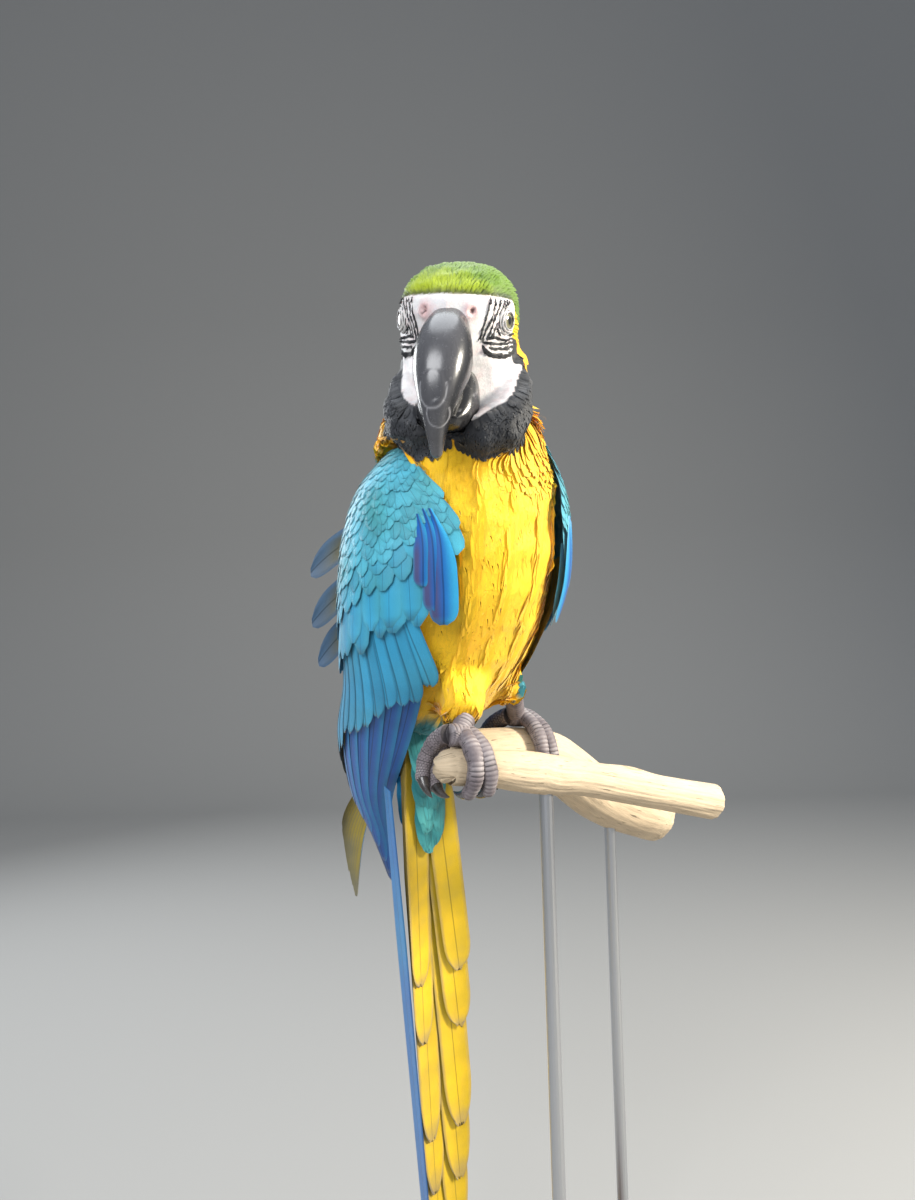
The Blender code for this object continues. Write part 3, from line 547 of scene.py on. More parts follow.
def mirrored(head, middle=0.0):
    """Places on the head, with their distance from its middle, on either side, for left."""
    return np.concatenate([np.abs(head[..., :1] - middle), head[..., 1:]], -1)


def hem(head, border):
    """The height of a lower border at each place's distance out from the beard's middle."""
    return np.interp(np.abs(head[..., 0] - BEARD_SWING), *border)


def beard_depth(head):
    """How far inside the beard each point is, in millimetres."""
    balls = np.array(BEARD, float)
    side = mirrored(head, BEARD_SWING)
    deepest = np.full(head.shape[:-1], -1e3)
    for start, end in zip(balls[:-1], balls[1:]):
        run = end[:3] - start[:3]
        share = np.clip(((side - start[:3]) @ run) / (run @ run), 0, 1)
        middle = start[:3] + share[..., None] * run
        radius = start[3] + share * (end[3] - start[3])
        deepest = np.maximum(deepest, radius - np.linalg.norm(side - middle, axis=-1))
    return deepest


def beard_reach(head):
    """As beard_depth, with the black band that runs up behind the cheek."""
    out, forward, up = np.abs(head[..., 0]), head[..., 1], head[..., 2]
    band = np.minimum(np.minimum(forward - CHEEK_REAR + 5.0, 2.0 - forward), np.minimum(-up - 8.0, up + 44.0))
    between = np.where((cheek_depth(head) > -14) & (up < -14), 3.0, NOT_BEARD)
    reach = np.maximum(beard_depth(head) + 1.0, np.where(out > 15, band, NOT_BEARD))
    return np.minimum(np.maximum(reach, between), up - hem(head, BEARD_HEM))


def crown_edge(forward):
    """The height at which the crown's green ends, over the eyes and behind them."""
    return CROWN_EDGE - CROWN_FALL * step(-8, -26, forward)


def cheek_depth(head):
    """How far inside the bare white face each point is, in millimetres."""
    forward, up = head[..., 1], head[..., 2]
    lower = 0.8 * (up - hem(head, CHEEK_HEM))
    return np.minimum(np.minimum(forward - CHEEK_REAR, lower), crown_edge(forward) - up)


def backward(height):
    """The direction of the bird's back, from the body's to the head's as it goes up."""
    low, high = turned(BIRD, (0, -1, 0)), turned(HEAD, (0, -1, -0.1))
    return unit(mix(low, high, step(*NECK_TURN, height)))


def plumage(points, normals, kind=None):
    """The bird's colour at points of its surface, in millimetres. A feather has its own
    kind's colours, and the skin has those of every kind."""
    if kind == "beard":
        return mix(CHARCOAL, BLACK, cloud(points, 6.0, 0.5, 0.7))
    head = from_world(HEAD, points)
    body = from_world(BIRD, points)
    forward, up = head[..., 1], head[..., 2]
    yellow = mix(ORANGE, YELLOW, cloud(points, 14.0, 0.62, 0.35, 1.0))
    yellow = mix(yellow, DULL_YELLOW, step(-60, -110, up) * 0.3)
    rear = (unit(normals) * backward(points[..., 2])).sum(-1) + 0.05 * waves(points, 6.0)
    rear = rear - 0.32 * step(0, -20, head[..., 0]) * step(-95, -75, up)
    colour = mix(yellow, TURQUOISE, step(0.50, 0.60, rear) * (1 - step(-40, -25, up)))
    nape = mix(mix(GREEN, TURQUOISE, 0.6), GREEN, step(-60, -20, up))
    colour = mix(colour, nape, step(0.42, 0.52, rear) * step(-75, -55, up))
    colour = mix(colour, TEAL, step(*BELLY_END, body[..., 2] + 1.5 * waves(points, 4.0)))
    # The share of lime grows towards the forehead, which is the crown's own colour, and towards the bird's
    # right side, where it is painted light.
    front = step(2, 24, forward + 0.35 * (10 - head[..., 0]) + 3 * waves(points, 5.0))
    over = up - crown_edge(forward)
    crown = step(-0.8, 0.8, over + 0.6 * waves(points, 1.6)) * step(-80, -45, forward + 2 * up)
    colour = mix(colour, mix(GREEN, LIME, front), crown)
    dark = beard_reach(head) + 0.8 * waves(points, 2.4)
    colour = mix(colour, RUST, 0.55 * step(-6.0, -1.0, dark) * step(-48, -60, up))
    fringe = step(4.5, 0.5, over + waves(points, 1.4)) * step(-14, -4, forward) * (up > 4)
    colour = mix(colour, DARK_GREEN, 0.85 * fringe)
    if kind:
        return colour
    colour = mix(colour, CHARCOAL, step(-0.6, 0.9, dark))
    return mix(colour, WHITE, step(-0.4, 0.5, cheek_depth(head)) * (up < CHEEK_TOP))


def face(points):
    """The skin's colour on the bare face: white, with pink about the nostrils and a painted shade in each
    nostril's slit.
    """
    off = mirrored(from_world(HEAD, points)) - NOSTRIL
    nostril = np.linalg.norm(off, axis=-1)
    colour = mix(WHITE, PINK, 0.25 * cloud(points, 3.0, 0.3, 1.0, 2.0))
    colour = mix(colour, PINK, 0.7 * step(6.5, 2.5, nostril))
    # Dark in the nostril's slit: a painted shade in the hollow.
    slit = np.hypot((off[..., 0] + 0.5 * off[..., 2]) / 0.8, off[..., 2] / 2.4)
    return mix(colour, NOSTRIL_SHADE, step(1.15, 0.6, slit) * (nostril < 6))


# --- Skin ----------------------------------------------------------------------------------

FLESH = ["head", "neck", "throat", "trunk", "tail_base", "left_thigh", "right_thigh"]
SKIN_VOXEL, SKIN_GROWTH, SKIN_ROUNDS = 1.45, 0.45, 3
BARE_DEPTH, CROWN_DEPTH, COAT_DEPTH = 0.4, 1.4, 2.4
EYE_FACING = (0.927, 0.375)     # how far each eye looks out, and how far ahead
EYELID_FOLD, EYELID_PITCH = 0.35, 2.1


def read_mesh(mesh):
    """A mesh's points and normals in millimetres, and its edges."""
    points, normals = np.empty(len(mesh.vertices) * 3), np.empty(len(mesh.vertices) * 3)
    edges = np.empty(len(mesh.edges) * 2, int)
    mesh.vertices.foreach_get("co", points)
    mesh.vertices.foreach_get("normal", normals)
    mesh.edges.foreach_get("vertices", edges)
    return points.reshape(-1, 3) / MM, normals.reshape(-1, 3), edges.reshape(-1, 2)


def write_points(mesh, points):
    mesh.vertices.foreach_set("co", np.ascontiguousarray(points * MM, np.float32).ravel())
    mesh.update()


def relaxed(points, edges, rounds, share=0.5):
    """Points drawn towards the middle of their neighbours."""
    number = np.maximum(np.bincount(edges.ravel(), minlength=len(points)), 1)[:, None]
    for _ in range(rounds):
        total = np.stack([np.bincount(edges[:, 0], points[edges[:, 1], axis], len(points))
                          + np.bincount(edges[:, 1], points[edges[:, 0], axis], len(points))
                          for axis in range(3)], -1)
        points = points + share * (total / number - points)
    return points


def applied(made, kind, **settings):
    """Runs one modifier on an object and keeps its result as the mesh."""
    modifier = made.modifiers.new(kind, kind)
    for key, value in settings.items():
        setattr(modifier, key, value)
    bpy.context.view_layer.objects.active = made
    bpy.ops.object.modifier_apply(modifier=modifier.name)


def eye_axes(side):
    """The eye's centre and its outward, forward and upward directions."""
    centre = to_world(HEAD, (side * EYE_OUT, 0, 0))
    outward, forward = EYE_FACING
    out, ahead, up = turned(HEAD, [(side * outward, forward, 0), (-side * forward, outward, 0), (0, 0, 1)])
    return centre, out, ahead, up


def skin_depth(points):
    """The coat's depth over the skin: least on the bare face, most on the body."""
    head = from_world(HEAD, points)
    depth = COAT_DEPTH + (CROWN_DEPTH - COAT_DEPTH) * step(-75, -40, head[..., 2])
    return depth + (BARE_DEPTH - depth) * step(-2.0, 1.0, cheek_depth(head)) * (head[..., 2] < CHEEK_TOP)


def folds(points):
    """The bare face's relief: rings about the eyes, faint creases and the nostrils."""
    head = from_world(HEAD, points)
    relief = np.zeros(len(points))
    for side in (1, -1):
        centre, out, ahead, up = eye_axes(side)
        across = np.hypot((points - centre) @ ahead, (points - centre) @ up)
        near = ((points - centre) @ out > 0) * step(16, 9, across)
        rings = np.cos(2 * math.pi * (across + 0.4 * waves(points, 4.0)) / EYELID_PITCH)
        relief += EYELID_FOLD * near * rings
        relief += 0.7 * near * peak(across, 8.6, 1.8)
    creases = np.sin(2 * math.pi * (head[:, 2] + 1.2 * waves(points, 7.0, 1.0)) / 2.6)
    bare = step(-0.5, 1.5, cheek_depth(head)) * (np.abs(head[:, 0]) > 14)
    relief += 0.16 * creases * bare * step(-6, -12, head[:, 2])
    nostril = np.linalg.norm(mirrored(head) - NOSTRIL, axis=-1)
    return relief + 0.9 * peak(nostril, 3.2, 1.1) - 2.2 * peak(nostril, 0.0, 1.5)


def make_skin():
    """One closed skin over the flesh, inside the solids by the coat's depth."""
    work = bmesh.new()
    for name in FLESH:
        work.from_mesh(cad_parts[name].data)
    bmesh.ops.recalc_face_normals(work, faces=work.faces)
    mesh = bpy.data.meshes.new("skin")
    work.to_mesh(mesh)
    work.free()
    points, normals, _ = read_mesh(mesh)
    write_points(mesh, points + normals * SKIN_GROWTH)
    made = linked("skin", mesh)
    applied(made, "REMESH", mode="VOXEL", voxel_size=SKIN_VOXEL * MM)
    points, _, edges = read_mesh(made.data)
    write_points(made.data, relaxed(points, edges, SKIN_ROUNDS))
    points, normals, edges = read_mesh(made.data)
    points = relaxed(points - normals * (skin_depth(points) + SKIN_GROWTH)[:, None], edges, 1)
    write_points(made.data, points + normals * folds(points)[:, None])
    keep_largest(made.data)
    points, normals, _ = read_mesh(made.data)
    head = from_world(HEAD, points)
    bare = step(-0.2, 0.4, cheek_depth(head)) * (head[:, 2] < CHEEK_TOP)
    rgba = np.ones((len(points), 4), np.float32)
    # The skin under the coat takes the plumage's colour darkened: a painted shade where it lies under the
    # feathers. The bare face keeps its own colour.
    rgba[:, :3] = mix(plumage(points, normals) * 0.85, face(points), bare)
    layer = made.data.color_attributes.new("plumage", "FLOAT_COLOR", "POINT")
    layer.data.foreach_set("color", rgba.ravel())
    made.data.shade_smooth()
    unwrap(made)
    made.data.materials.append(skin_material())
    dress(made, "yellow_feathers", *FLESH)
    return made


def keep_largest(mesh):
    """Removes loose crumbs, such as the inner walls that a remesh can leave."""
    work = bmesh.new()
    work.from_mesh(mesh)
    left, best = set(work.verts), set()
    while left:
        front = [left.pop()]
        island = set(front)
        while front:
            for edge in front.pop().link_edges:
                for vertex in edge.verts:
                    if vertex in left:
                        left.remove(vertex)
                        island.add(vertex)
                        front.append(vertex)
        if len(island) > len(best):
            best = island
    bmesh.ops.delete(work, geom=[vertex for vertex in work.verts if vertex not in best], context="VERTS")
    work.to_mesh(mesh)
    work.free()
    mesh.update()


def unwrap(made):
    """The skin's own unwrap, on which the coat's tufts find their places."""
    bpy.ops.object.select_all(action="DESELECT")
    made.select_set(True)
    bpy.context.view_layer.objects.active = made
    made.data.uv_layers.new(name="OFBake")
    bpy.ops.object.mode_set(mode="EDIT")
    bpy.ops.mesh.select_all(action="SELECT")
    bpy.ops.uv.smart_project(angle_limit=math.radians(66), island_margin=0.002)
    bpy.ops.object.mode_set(mode="OBJECT")
    made.select_set(False)


class Surface:
    """The skin as a thing to lay feathers on: its points, normals, unwrap and nearest place."""

    def __init__(self, made):
        mesh = made.data
        self.points, self.normals, self.edges = read_mesh(mesh)
        faces = [polygon.vertices[:] for polygon in mesh.polygons]
        self.tree = BVHTree.FromPolygons([Vector(point) for point in self.points], faces)
        loops = np.empty(len(mesh.loops), int)
        mesh.loops.foreach_get("vertex_index", loops)
        uv = np.empty(len(mesh.loops) * 2)
        mesh.uv_layers["OFBake"].data.foreach_get("uv", uv)
        self.unwrap = np.zeros((len(self.points), 2))
        self.unwrap[loops] = uv.reshape(-1, 2)
        self.soft = unit(relaxed(self.normals, self.edges, 8))

    def nearest(self, points):
        """The nearest points of the skin and the outward directions there."""
        found, facing = np.empty((len(points), 3)), np.empty((len(points), 3))
        for index, point in enumerate(points):
            place, normal, _, _ = self.tree.find_nearest(Vector(point))
            found[index], facing[index] = place, normal
        return found, facing


# --- Body coat -----------------------------------------------------------------------------

def thinned(points, spacing):
    """The indices of points kept so that none is nearer another than its own spacing."""
    cell = spacing.max()
    grid = {}
    kept = []
    for index in RANDOM.permutation(len(points)):
        point, limit = points[index], spacing[index] ** 2
        key = tuple((point // cell).astype(int))
        near = [other for dx in (-1, 0, 1) for dy in (-1, 0, 1) for dz in (-1, 0, 1)
                for other in grid.get((key[0] + dx, key[1] + dy, key[2] + dz), ())]
        if near and ((points[near] - point) ** 2).sum(1).min() < limit:
            continue
        grid.setdefault(key, []).append(index)
        kept.append(index)
    return np.array(kept)


def flow(points):
    """The way that the coat lies: back from the bill over the head, then down the body."""
    head = from_world(HEAD, points)
    away = unit(points - to_world(HEAD, BILL_ROOT))
    back = turned(HEAD, (0, -1, -0.35))
    chest, belly = turned(BIRD, [(0, -0.05, -1), (-0.12, -0.75, -1)])
    low = unit(mix(chest, belly, step(560, 480, points[:, 2])))
    nearby = step(60, 25, np.linalg.norm(head - FACE_MIDDLE, axis=-1))[:, None]
    middle = unit(mix(low, back, step(-60, 5, head[:, 2])))
    stray = np.stack([waves(points, 22.0, seed) for seed in (1.0, 2.0, 3.0)], -1)
    return unit(nearby * away + (1 - nearby) * middle + 0.05 * stray)


# Each kind of body feather: spacing, length, width, lift of the tip, camber, columns of
# its grid, how ragged its tip is, and its slot.
COAT = {
    "crown": dict(spacing=1.35, length=7.5, width=1.3, lift=1.7, camber=0.08, columns=3, ragged=0.0,
                  slot="crown_feathers"),
    "beard": dict(spacing=1.6, length=9.0, width=3.2, lift=1.7, camber=0.08, columns=5, ragged=0.5,
                  slot="throat_feathers"),
    "neck": dict(spacing=2.3, length=18.0, width=5.8, lift=0.6, camber=0.02, columns=7, ragged=0.24,
                 slot="yellow_feathers"),
    "body": dict(spacing=3.0, length=22.0, width=8.0, lift=0.55, camber=0.03, columns=9, ragged=0.22,
                 slot="yellow_feathers"),
}
COAT_ROWS, COAT_TWIST = 6, 0.03
COAT_PLACES, QUICK_PLACES = 90000, 30000
# How much more the ruff behind each cheek lifts, and how much more again on the left.
RUFF_LIFT, LEFT_RUFF_LIFT = 7.0, 7.5


def coat_kinds(points):
    """The kind of feather, of COAT, that grows at each point, or "bare" for none."""
    head = from_world(HEAD, points)
    forward, up = head[:, 1], head[:, 2]
    kinds = np.full(len(points), "body", object)
    kinds[up > -95] = "neck"
    kinds[(up > crown_edge(forward) - 3) | ((up > -10) & (forward < -8))] = "crown"
    kinds[beard_reach(head) > 0] = "beard"
    kinds[(cheek_depth(head) > 0.3) & (up < 28)] = "bare"
    return kinds


def strewn(surface, amount):
    """Random places over the skin, along its edges: points, directions, bake map places."""
    edges = surface.edges[RANDOM.integers(0, len(surface.edges), amount)]
    share = RANDOM.random((amount, 1))
    points, normals = (part[edges[:, 0]] * (1 - share) + part[edges[:, 1]] * share
                       for part in (surface.points, surface.soft))
    return points, unit(normals), surface.unwrap[edges[:, 0]]


def laid(surface, roots, normals, lengths, lifts, rows, sway=0.04):
    """Each feather's middle line over the skin and its outward directions: vane, row."""
    along = np.linspace(0, 1, rows)
    line, facing = np.empty((len(roots), rows, 3)), np.empty((len(roots), rows, 3))
    place, normal = roots, normals
    way = flow(roots) + RANDOM.normal(0, sway, roots.shape)
    for row in range(rows):
        line[:, row] = place + normal * (lifts * (along[row] ** 0.8 - 0.12))[:, None]
        facing[:, row] = normal
        way = unit(levelled(way, normal))
        place, found = surface.nearest(place + way * (lengths / (rows - 1))[:, None])
        normal = unit(0.45 * found + 0.55 * normal)
        way = unit(0.6 * way + 0.4 * flow(place))
    return line, facing


def vane_grid(line, facing, widths, camber, columns, outline, ragged=0.0, twist=0.0):
    """Vane points about middle lines: the outline gives the half width at each row's share,
    and ragged tips end at different lengths from one column to the next."""
    count, rows, _ = line.shape
    along = np.linspace(0, 1, rows)
    across = np.linspace(-1, 1, columns)
    run = unit(np.gradient(line, axis=1))
    side = unit(np.cross(run, facing))
    if twist:
        side = unit(side + facing * RANDOM.normal(0, twist, (count, 1, 1)))
    reach = (0.5 * widths[:, None] * outline(along)[None])[..., None] * across
    grid = line[:, :, None] + side[:, :, None] * reach[..., None]
    grid -= np.cross(side, run)[:, :, None] * camber * (across ** 2)[None, None, :, None]
    length = np.linalg.norm(line[:, -1] - line[:, 0], axis=-1)[:, None]
    if ragged:
        uneven = 0.5 * (1 - (-1.0) ** np.arange(columns)) + 0.5 * RANDOM.random((count, columns))
        back = ragged * length * uneven * 0.55
        near_tip = (along ** 6)[None, :, None, None]
        grid -= run[:, -1][:, None, None] * back[:, None, :, None] * near_tip
    return grid, np.stack(np.broadcast_arrays(reach, (along[None] * length)[..., None]), -1)


def round_tip(along, start, length, least):
    """A share of the width that falls from 1 at the start to a rounded tip."""
    return np.sqrt(np.clip(1 - (np.maximum(along - start, 0) / length) ** 2, least, 1))


def leaf(along):
    """A contour feather's outline: a narrow root, full by a third, and a rounded tip."""
    return (0.45 + 0.55 * np.minimum(along * 3, 1)) * round_tip(along, 0.62, 0.42, 0.02)


def body_coat(surface, material):
    """The small feathers of the head and body, thinned to their own kind's spacing."""
    points, normals, places = strewn(surface, COAT_PLACES)
    kinds = coat_kinds(points)
    for name, style in COAT.items():
        mine = np.flatnonzero(kinds == name)
        spacing = style["spacing"] * (1 + 0.12 * RANDOM.normal(size=len(mine)).clip(-1, 1))
        mine = mine[thinned(points[mine], spacing)]
        lengths = style["length"] * RANDOM.uniform(0.85, 1.15, len(mine))
        widths = style["width"] * RANDOM.uniform(0.85, 1.15, len(mine))
        lifts = style["lift"] * RANDOM.uniform(0.8, 1.2, len(mine))
        left, forward, up = from_world(HEAD, points[mine]).T
        if name == "crown":
            ahead = step(-30, 24, forward)
            lengths *= 1.25 - 0.6 * ahead
            lifts *= 1.2 - 0.5 * ahead
        if name == "neck":
            ruff = step(-82, -62, up) * step(14, 28, np.abs(left)) * step(16, -2, forward)
            ruff *= step(-8, -16, up) * (0.4 + 0.6 * step(-50, -38, up))
            lifts *= 1 + (RUFF_LIFT + LEFT_RUFF_LIFT * (left > 0)) * ruff
            lengths *= 1 + 0.15 * ruff
        line, facing = laid(surface, points[mine], normals[mine], lengths, lifts, COAT_ROWS)
        grid, lie = vane_grid(line, facing, widths, style["camber"], style["columns"], leaf, style["ragged"],
                              COAT_TWIST)
        colour = plumage(line.reshape(-1, 3), facing.reshape(-1, 3), name).reshape(*line.shape[:2], 1, 3)
        along = np.linspace(0, 1, COAT_ROWS)[None, :, None, None]
        streak = 1 + 0.05 * RANDOM.normal(size=(len(mine), 1, style["columns"], 1))
        # Each vane's tone and each column's streak differ at random. The rise from root to tip is a painted
        # shade, darker at the root under the vanes that cover it.
        shade = RANDOM.uniform(0.97, 1.03, (len(mine), 1, 1, 1)) * (0.97 + 0.04 * along) * streak
        save_vanes(f"coat_{name}", grid, colour * shade, lie, material, places[mine], style["slot"])


def save_vanes(name, grid, tint, lie, material, roots, slot):
    """The vanes as pieces that each stay under the limit of triangles."""
    _, rows, columns, _ = grid.shape
    each = 2 * (rows - 1) * (columns - 1) + 2 * (rows - 1) + 2 * (columns - 2)
    most = VANE_PIECE // each
    for number, start in enumerate(range(0, len(grid), most), start=1):
        part = slice(start, start + most)
        dress(vanes(f"{name}_{number}", grid[part], tint[part], lie[part], material, roots=roots[part]), slot)


# --- Wings ---------------------------------------------------------------------------------

def wing_point(side, rows, along, across, deep):
    """A point of a wing: down it, from its leading edge to its back edge, and in from its face."""
    height, out, forward, half_width, half_depth, lead, back = read(rows, along)
    turn = np.radians(lead + (back - lead) * across)
    left = side * (out + (half_width - deep) * np.sin(turn))
    return to_world(BIRD, np.stack([left, forward + (half_depth - deep) * np.cos(turn), height], -1))


def wing_span(rows, along):
    """A wing's width round its curve, in millimetres."""
    _, _, _, half_width, half_depth, lead, back = read(rows, along)
    return np.radians(np.abs(back - lead)) * 0.5 * (half_width + half_depth)


def wing_length(rows):
    return rows[0][0] - rows[-1][0]


class Lay:
    """Feathers on a wing: their roots and tips as shares down and across it, and their width,
    depth in from its face at root and tip, tilt, camber and thickness in millimetres."""

    def __init__(self, root, tip, width, deep, tilt, camber, thick=0.25):
        self.root, self.tip = root, tip
        self.width, self.deep, self.tilt, self.camber, self.thick = width, deep, tilt, camber, thick

    def grids(self, side, rows, count, columns, outline, ragged):
        """The outer and inner grids, each point's place on its feather, its share across the
        wing, and its shares across and along the feather."""
        share = np.linspace(0, 1, count)[None, :, None]
        edge = np.linspace(-1, 1, columns)[None, None]
        root, tip = self.root[:, None, None], self.tip[:, None, None]
        along = root[..., 0] + (tip[..., 0] - root[..., 0]) * share
        middle = root[..., 1] + (tip[..., 1] - root[..., 1]) * share ** 1.15
        reach = 0.5 * np.asarray(self.width).reshape(-1, 1, 1) * outline(share) * edge
        length = (tip[..., 0] - root[..., 0]) * wing_length(rows)
        torn = ragged * RANDOM.random((len(self.root), 1, columns)) * share ** 8
        along = along - torn / wing_length(rows)
        across = middle + reach / wing_span(rows, along)
        first, last = (np.asarray(part, float).reshape(-1, 1, 1) for part in self.deep)
        deep = first + (last - first) * share + self.tilt * edge - self.camber * (1 - edge ** 2)
        thin = 1 - 0.75 * np.clip((along - 0.66) / 0.34, 0, 1)
        outer = wing_point(side, rows, along, across, deep * thin)
        inner = wing_point(side, rows, along, across, (deep + self.thick) * thin)
        reach, run, edge, share = (np.broadcast_to(part, along.shape)
                                   for part in (reach, share * length, edge, share))
        grids = outer, inner, np.stack([reach, run], -1), across, edge, share
        return [grid[:, :, ::-1] for grid in grids] if side > 0 else grids


def blade(along):
    """A flight feather's outline: parallel edges and a rounded tip."""
    return (0.62 + 0.38 * np.minimum(along * 4, 1)) * round_tip(along, 0.86, 0.145, 0.01)


def shingle(along):
    """A covert's outline: broad, with a round end."""
    return (0.7 + 0.3 * np.minimum(along * 3, 1)) * round_tip(along, 0.66, 0.35, 0.01)


def rim(edge, share, start):
    """0 inside a feather and 1 at its edges and tip."""
    return np.maximum(step(start, 1.0, np.abs(edge)), step(0.5 + 0.5 * start, 1.0, share))


def covert_rows(rows, first, last, pitch, width):
    """Roots and tips of staggered rows of coverts, which end along first(across) to last."""
    length = wing_length(rows)
    roots, tips = [], []
    number = int(max((last(c) - first(c)) * length / pitch for c in (0.0, 1.0))) + 1
    for row in range(number):
        level = (row + 0.5) / number
        span = float(wing_span(rows, first(0.5) + (last(0.5) - first(0.5)) * level))
        count = max(int(span / width), 2)
        across = (np.arange(-1, count + 1) + 0.5 + 0.5 * (row % 2)) / count
        across = across[(across > -0.03) & (across < 1.03)]
        across = across + RANDOM.normal(0, 0.06 / count, len(across))
        end = first(across) + (last(across) - first(across)) * level
        end = end + RANDOM.normal(0, 0.6 / length, len(across))
        tips.append(np.stack([end, across], -1))
        roots.append(np.stack([end - 3.0 * pitch / length, across + 0.02 * (1 - across)], -1))
    return np.concatenate(roots), np.concatenate(tips)


# Each row of coverts ends on a line down the wing: its share at the leading edge, and how
# much more it is at the back edge. The first line is where they begin.
COVERT_ENDS = {"shoulder": (-0.005, 0.0), "lesser": (0.25, 0.22), "median": (0.31, 0.22),
               "greater": (0.415, 0.18)}
# Each kind of covert: the line that it follows and how far after it, the pitch of its rows,
# its width, how blue it is, and its depth in from the wing's face at root and tip.
COVERTS = {
    "lesser": dict(follows="shoulder", after=0.0, pitch=7.6, width=8.4, blue=0.10, deep=(2.4, 0.1)),
    "median": dict(follows="lesser", after=0.0, pitch=10.5, width=11.0, blue=0.4, deep=(2.8, 0.6)),
    "greater": dict(follows="median", after=0.05, pitch=15.0, width=12.0, blue=0.75, deep=(3.4, 1.2)),
}
COVERT_ROWS, COVERT_COLUMNS, COVERT_TILT, COVERT_CAMBER = 8, 9, 0.15, 0.22
SECONDARIES, PRIMARIES, FLIGHT_WIDTH, FLIGHT_COLUMNS = 17, 10, 15.0, 9
# How far above the wing's tip the innermost primary ends, as a share of the wing.
PRIMARY_RISE = {"right": 0.30, "left": 0.10}


def covert_end(kind, across, after=0.0):
    start, more = COVERT_ENDS[kind]
    return start + more * across + after


def covert_tint(points, edge, share, blue, brightness):
    """Turquoise scales with a darker, bluer heart and thin dark rims."""
    green = mix(TURQUOISE, SEA_GREEN, cloud(points, 14.0, 0.25, 0.6))
    tint = mix(green, CYAN, blue * (1 - 0.6 * np.abs(edge)))
    tint = mix(tint, NAVY, 0.22 * rim(edge, share, 0.88))
    # The rise from root to tip is a painted shade, darker at the root under the row that covers it.
    # Brightness differs at random from one covert to the next.
    return tint * brightness * (0.80 + 0.25 * share)[..., None]


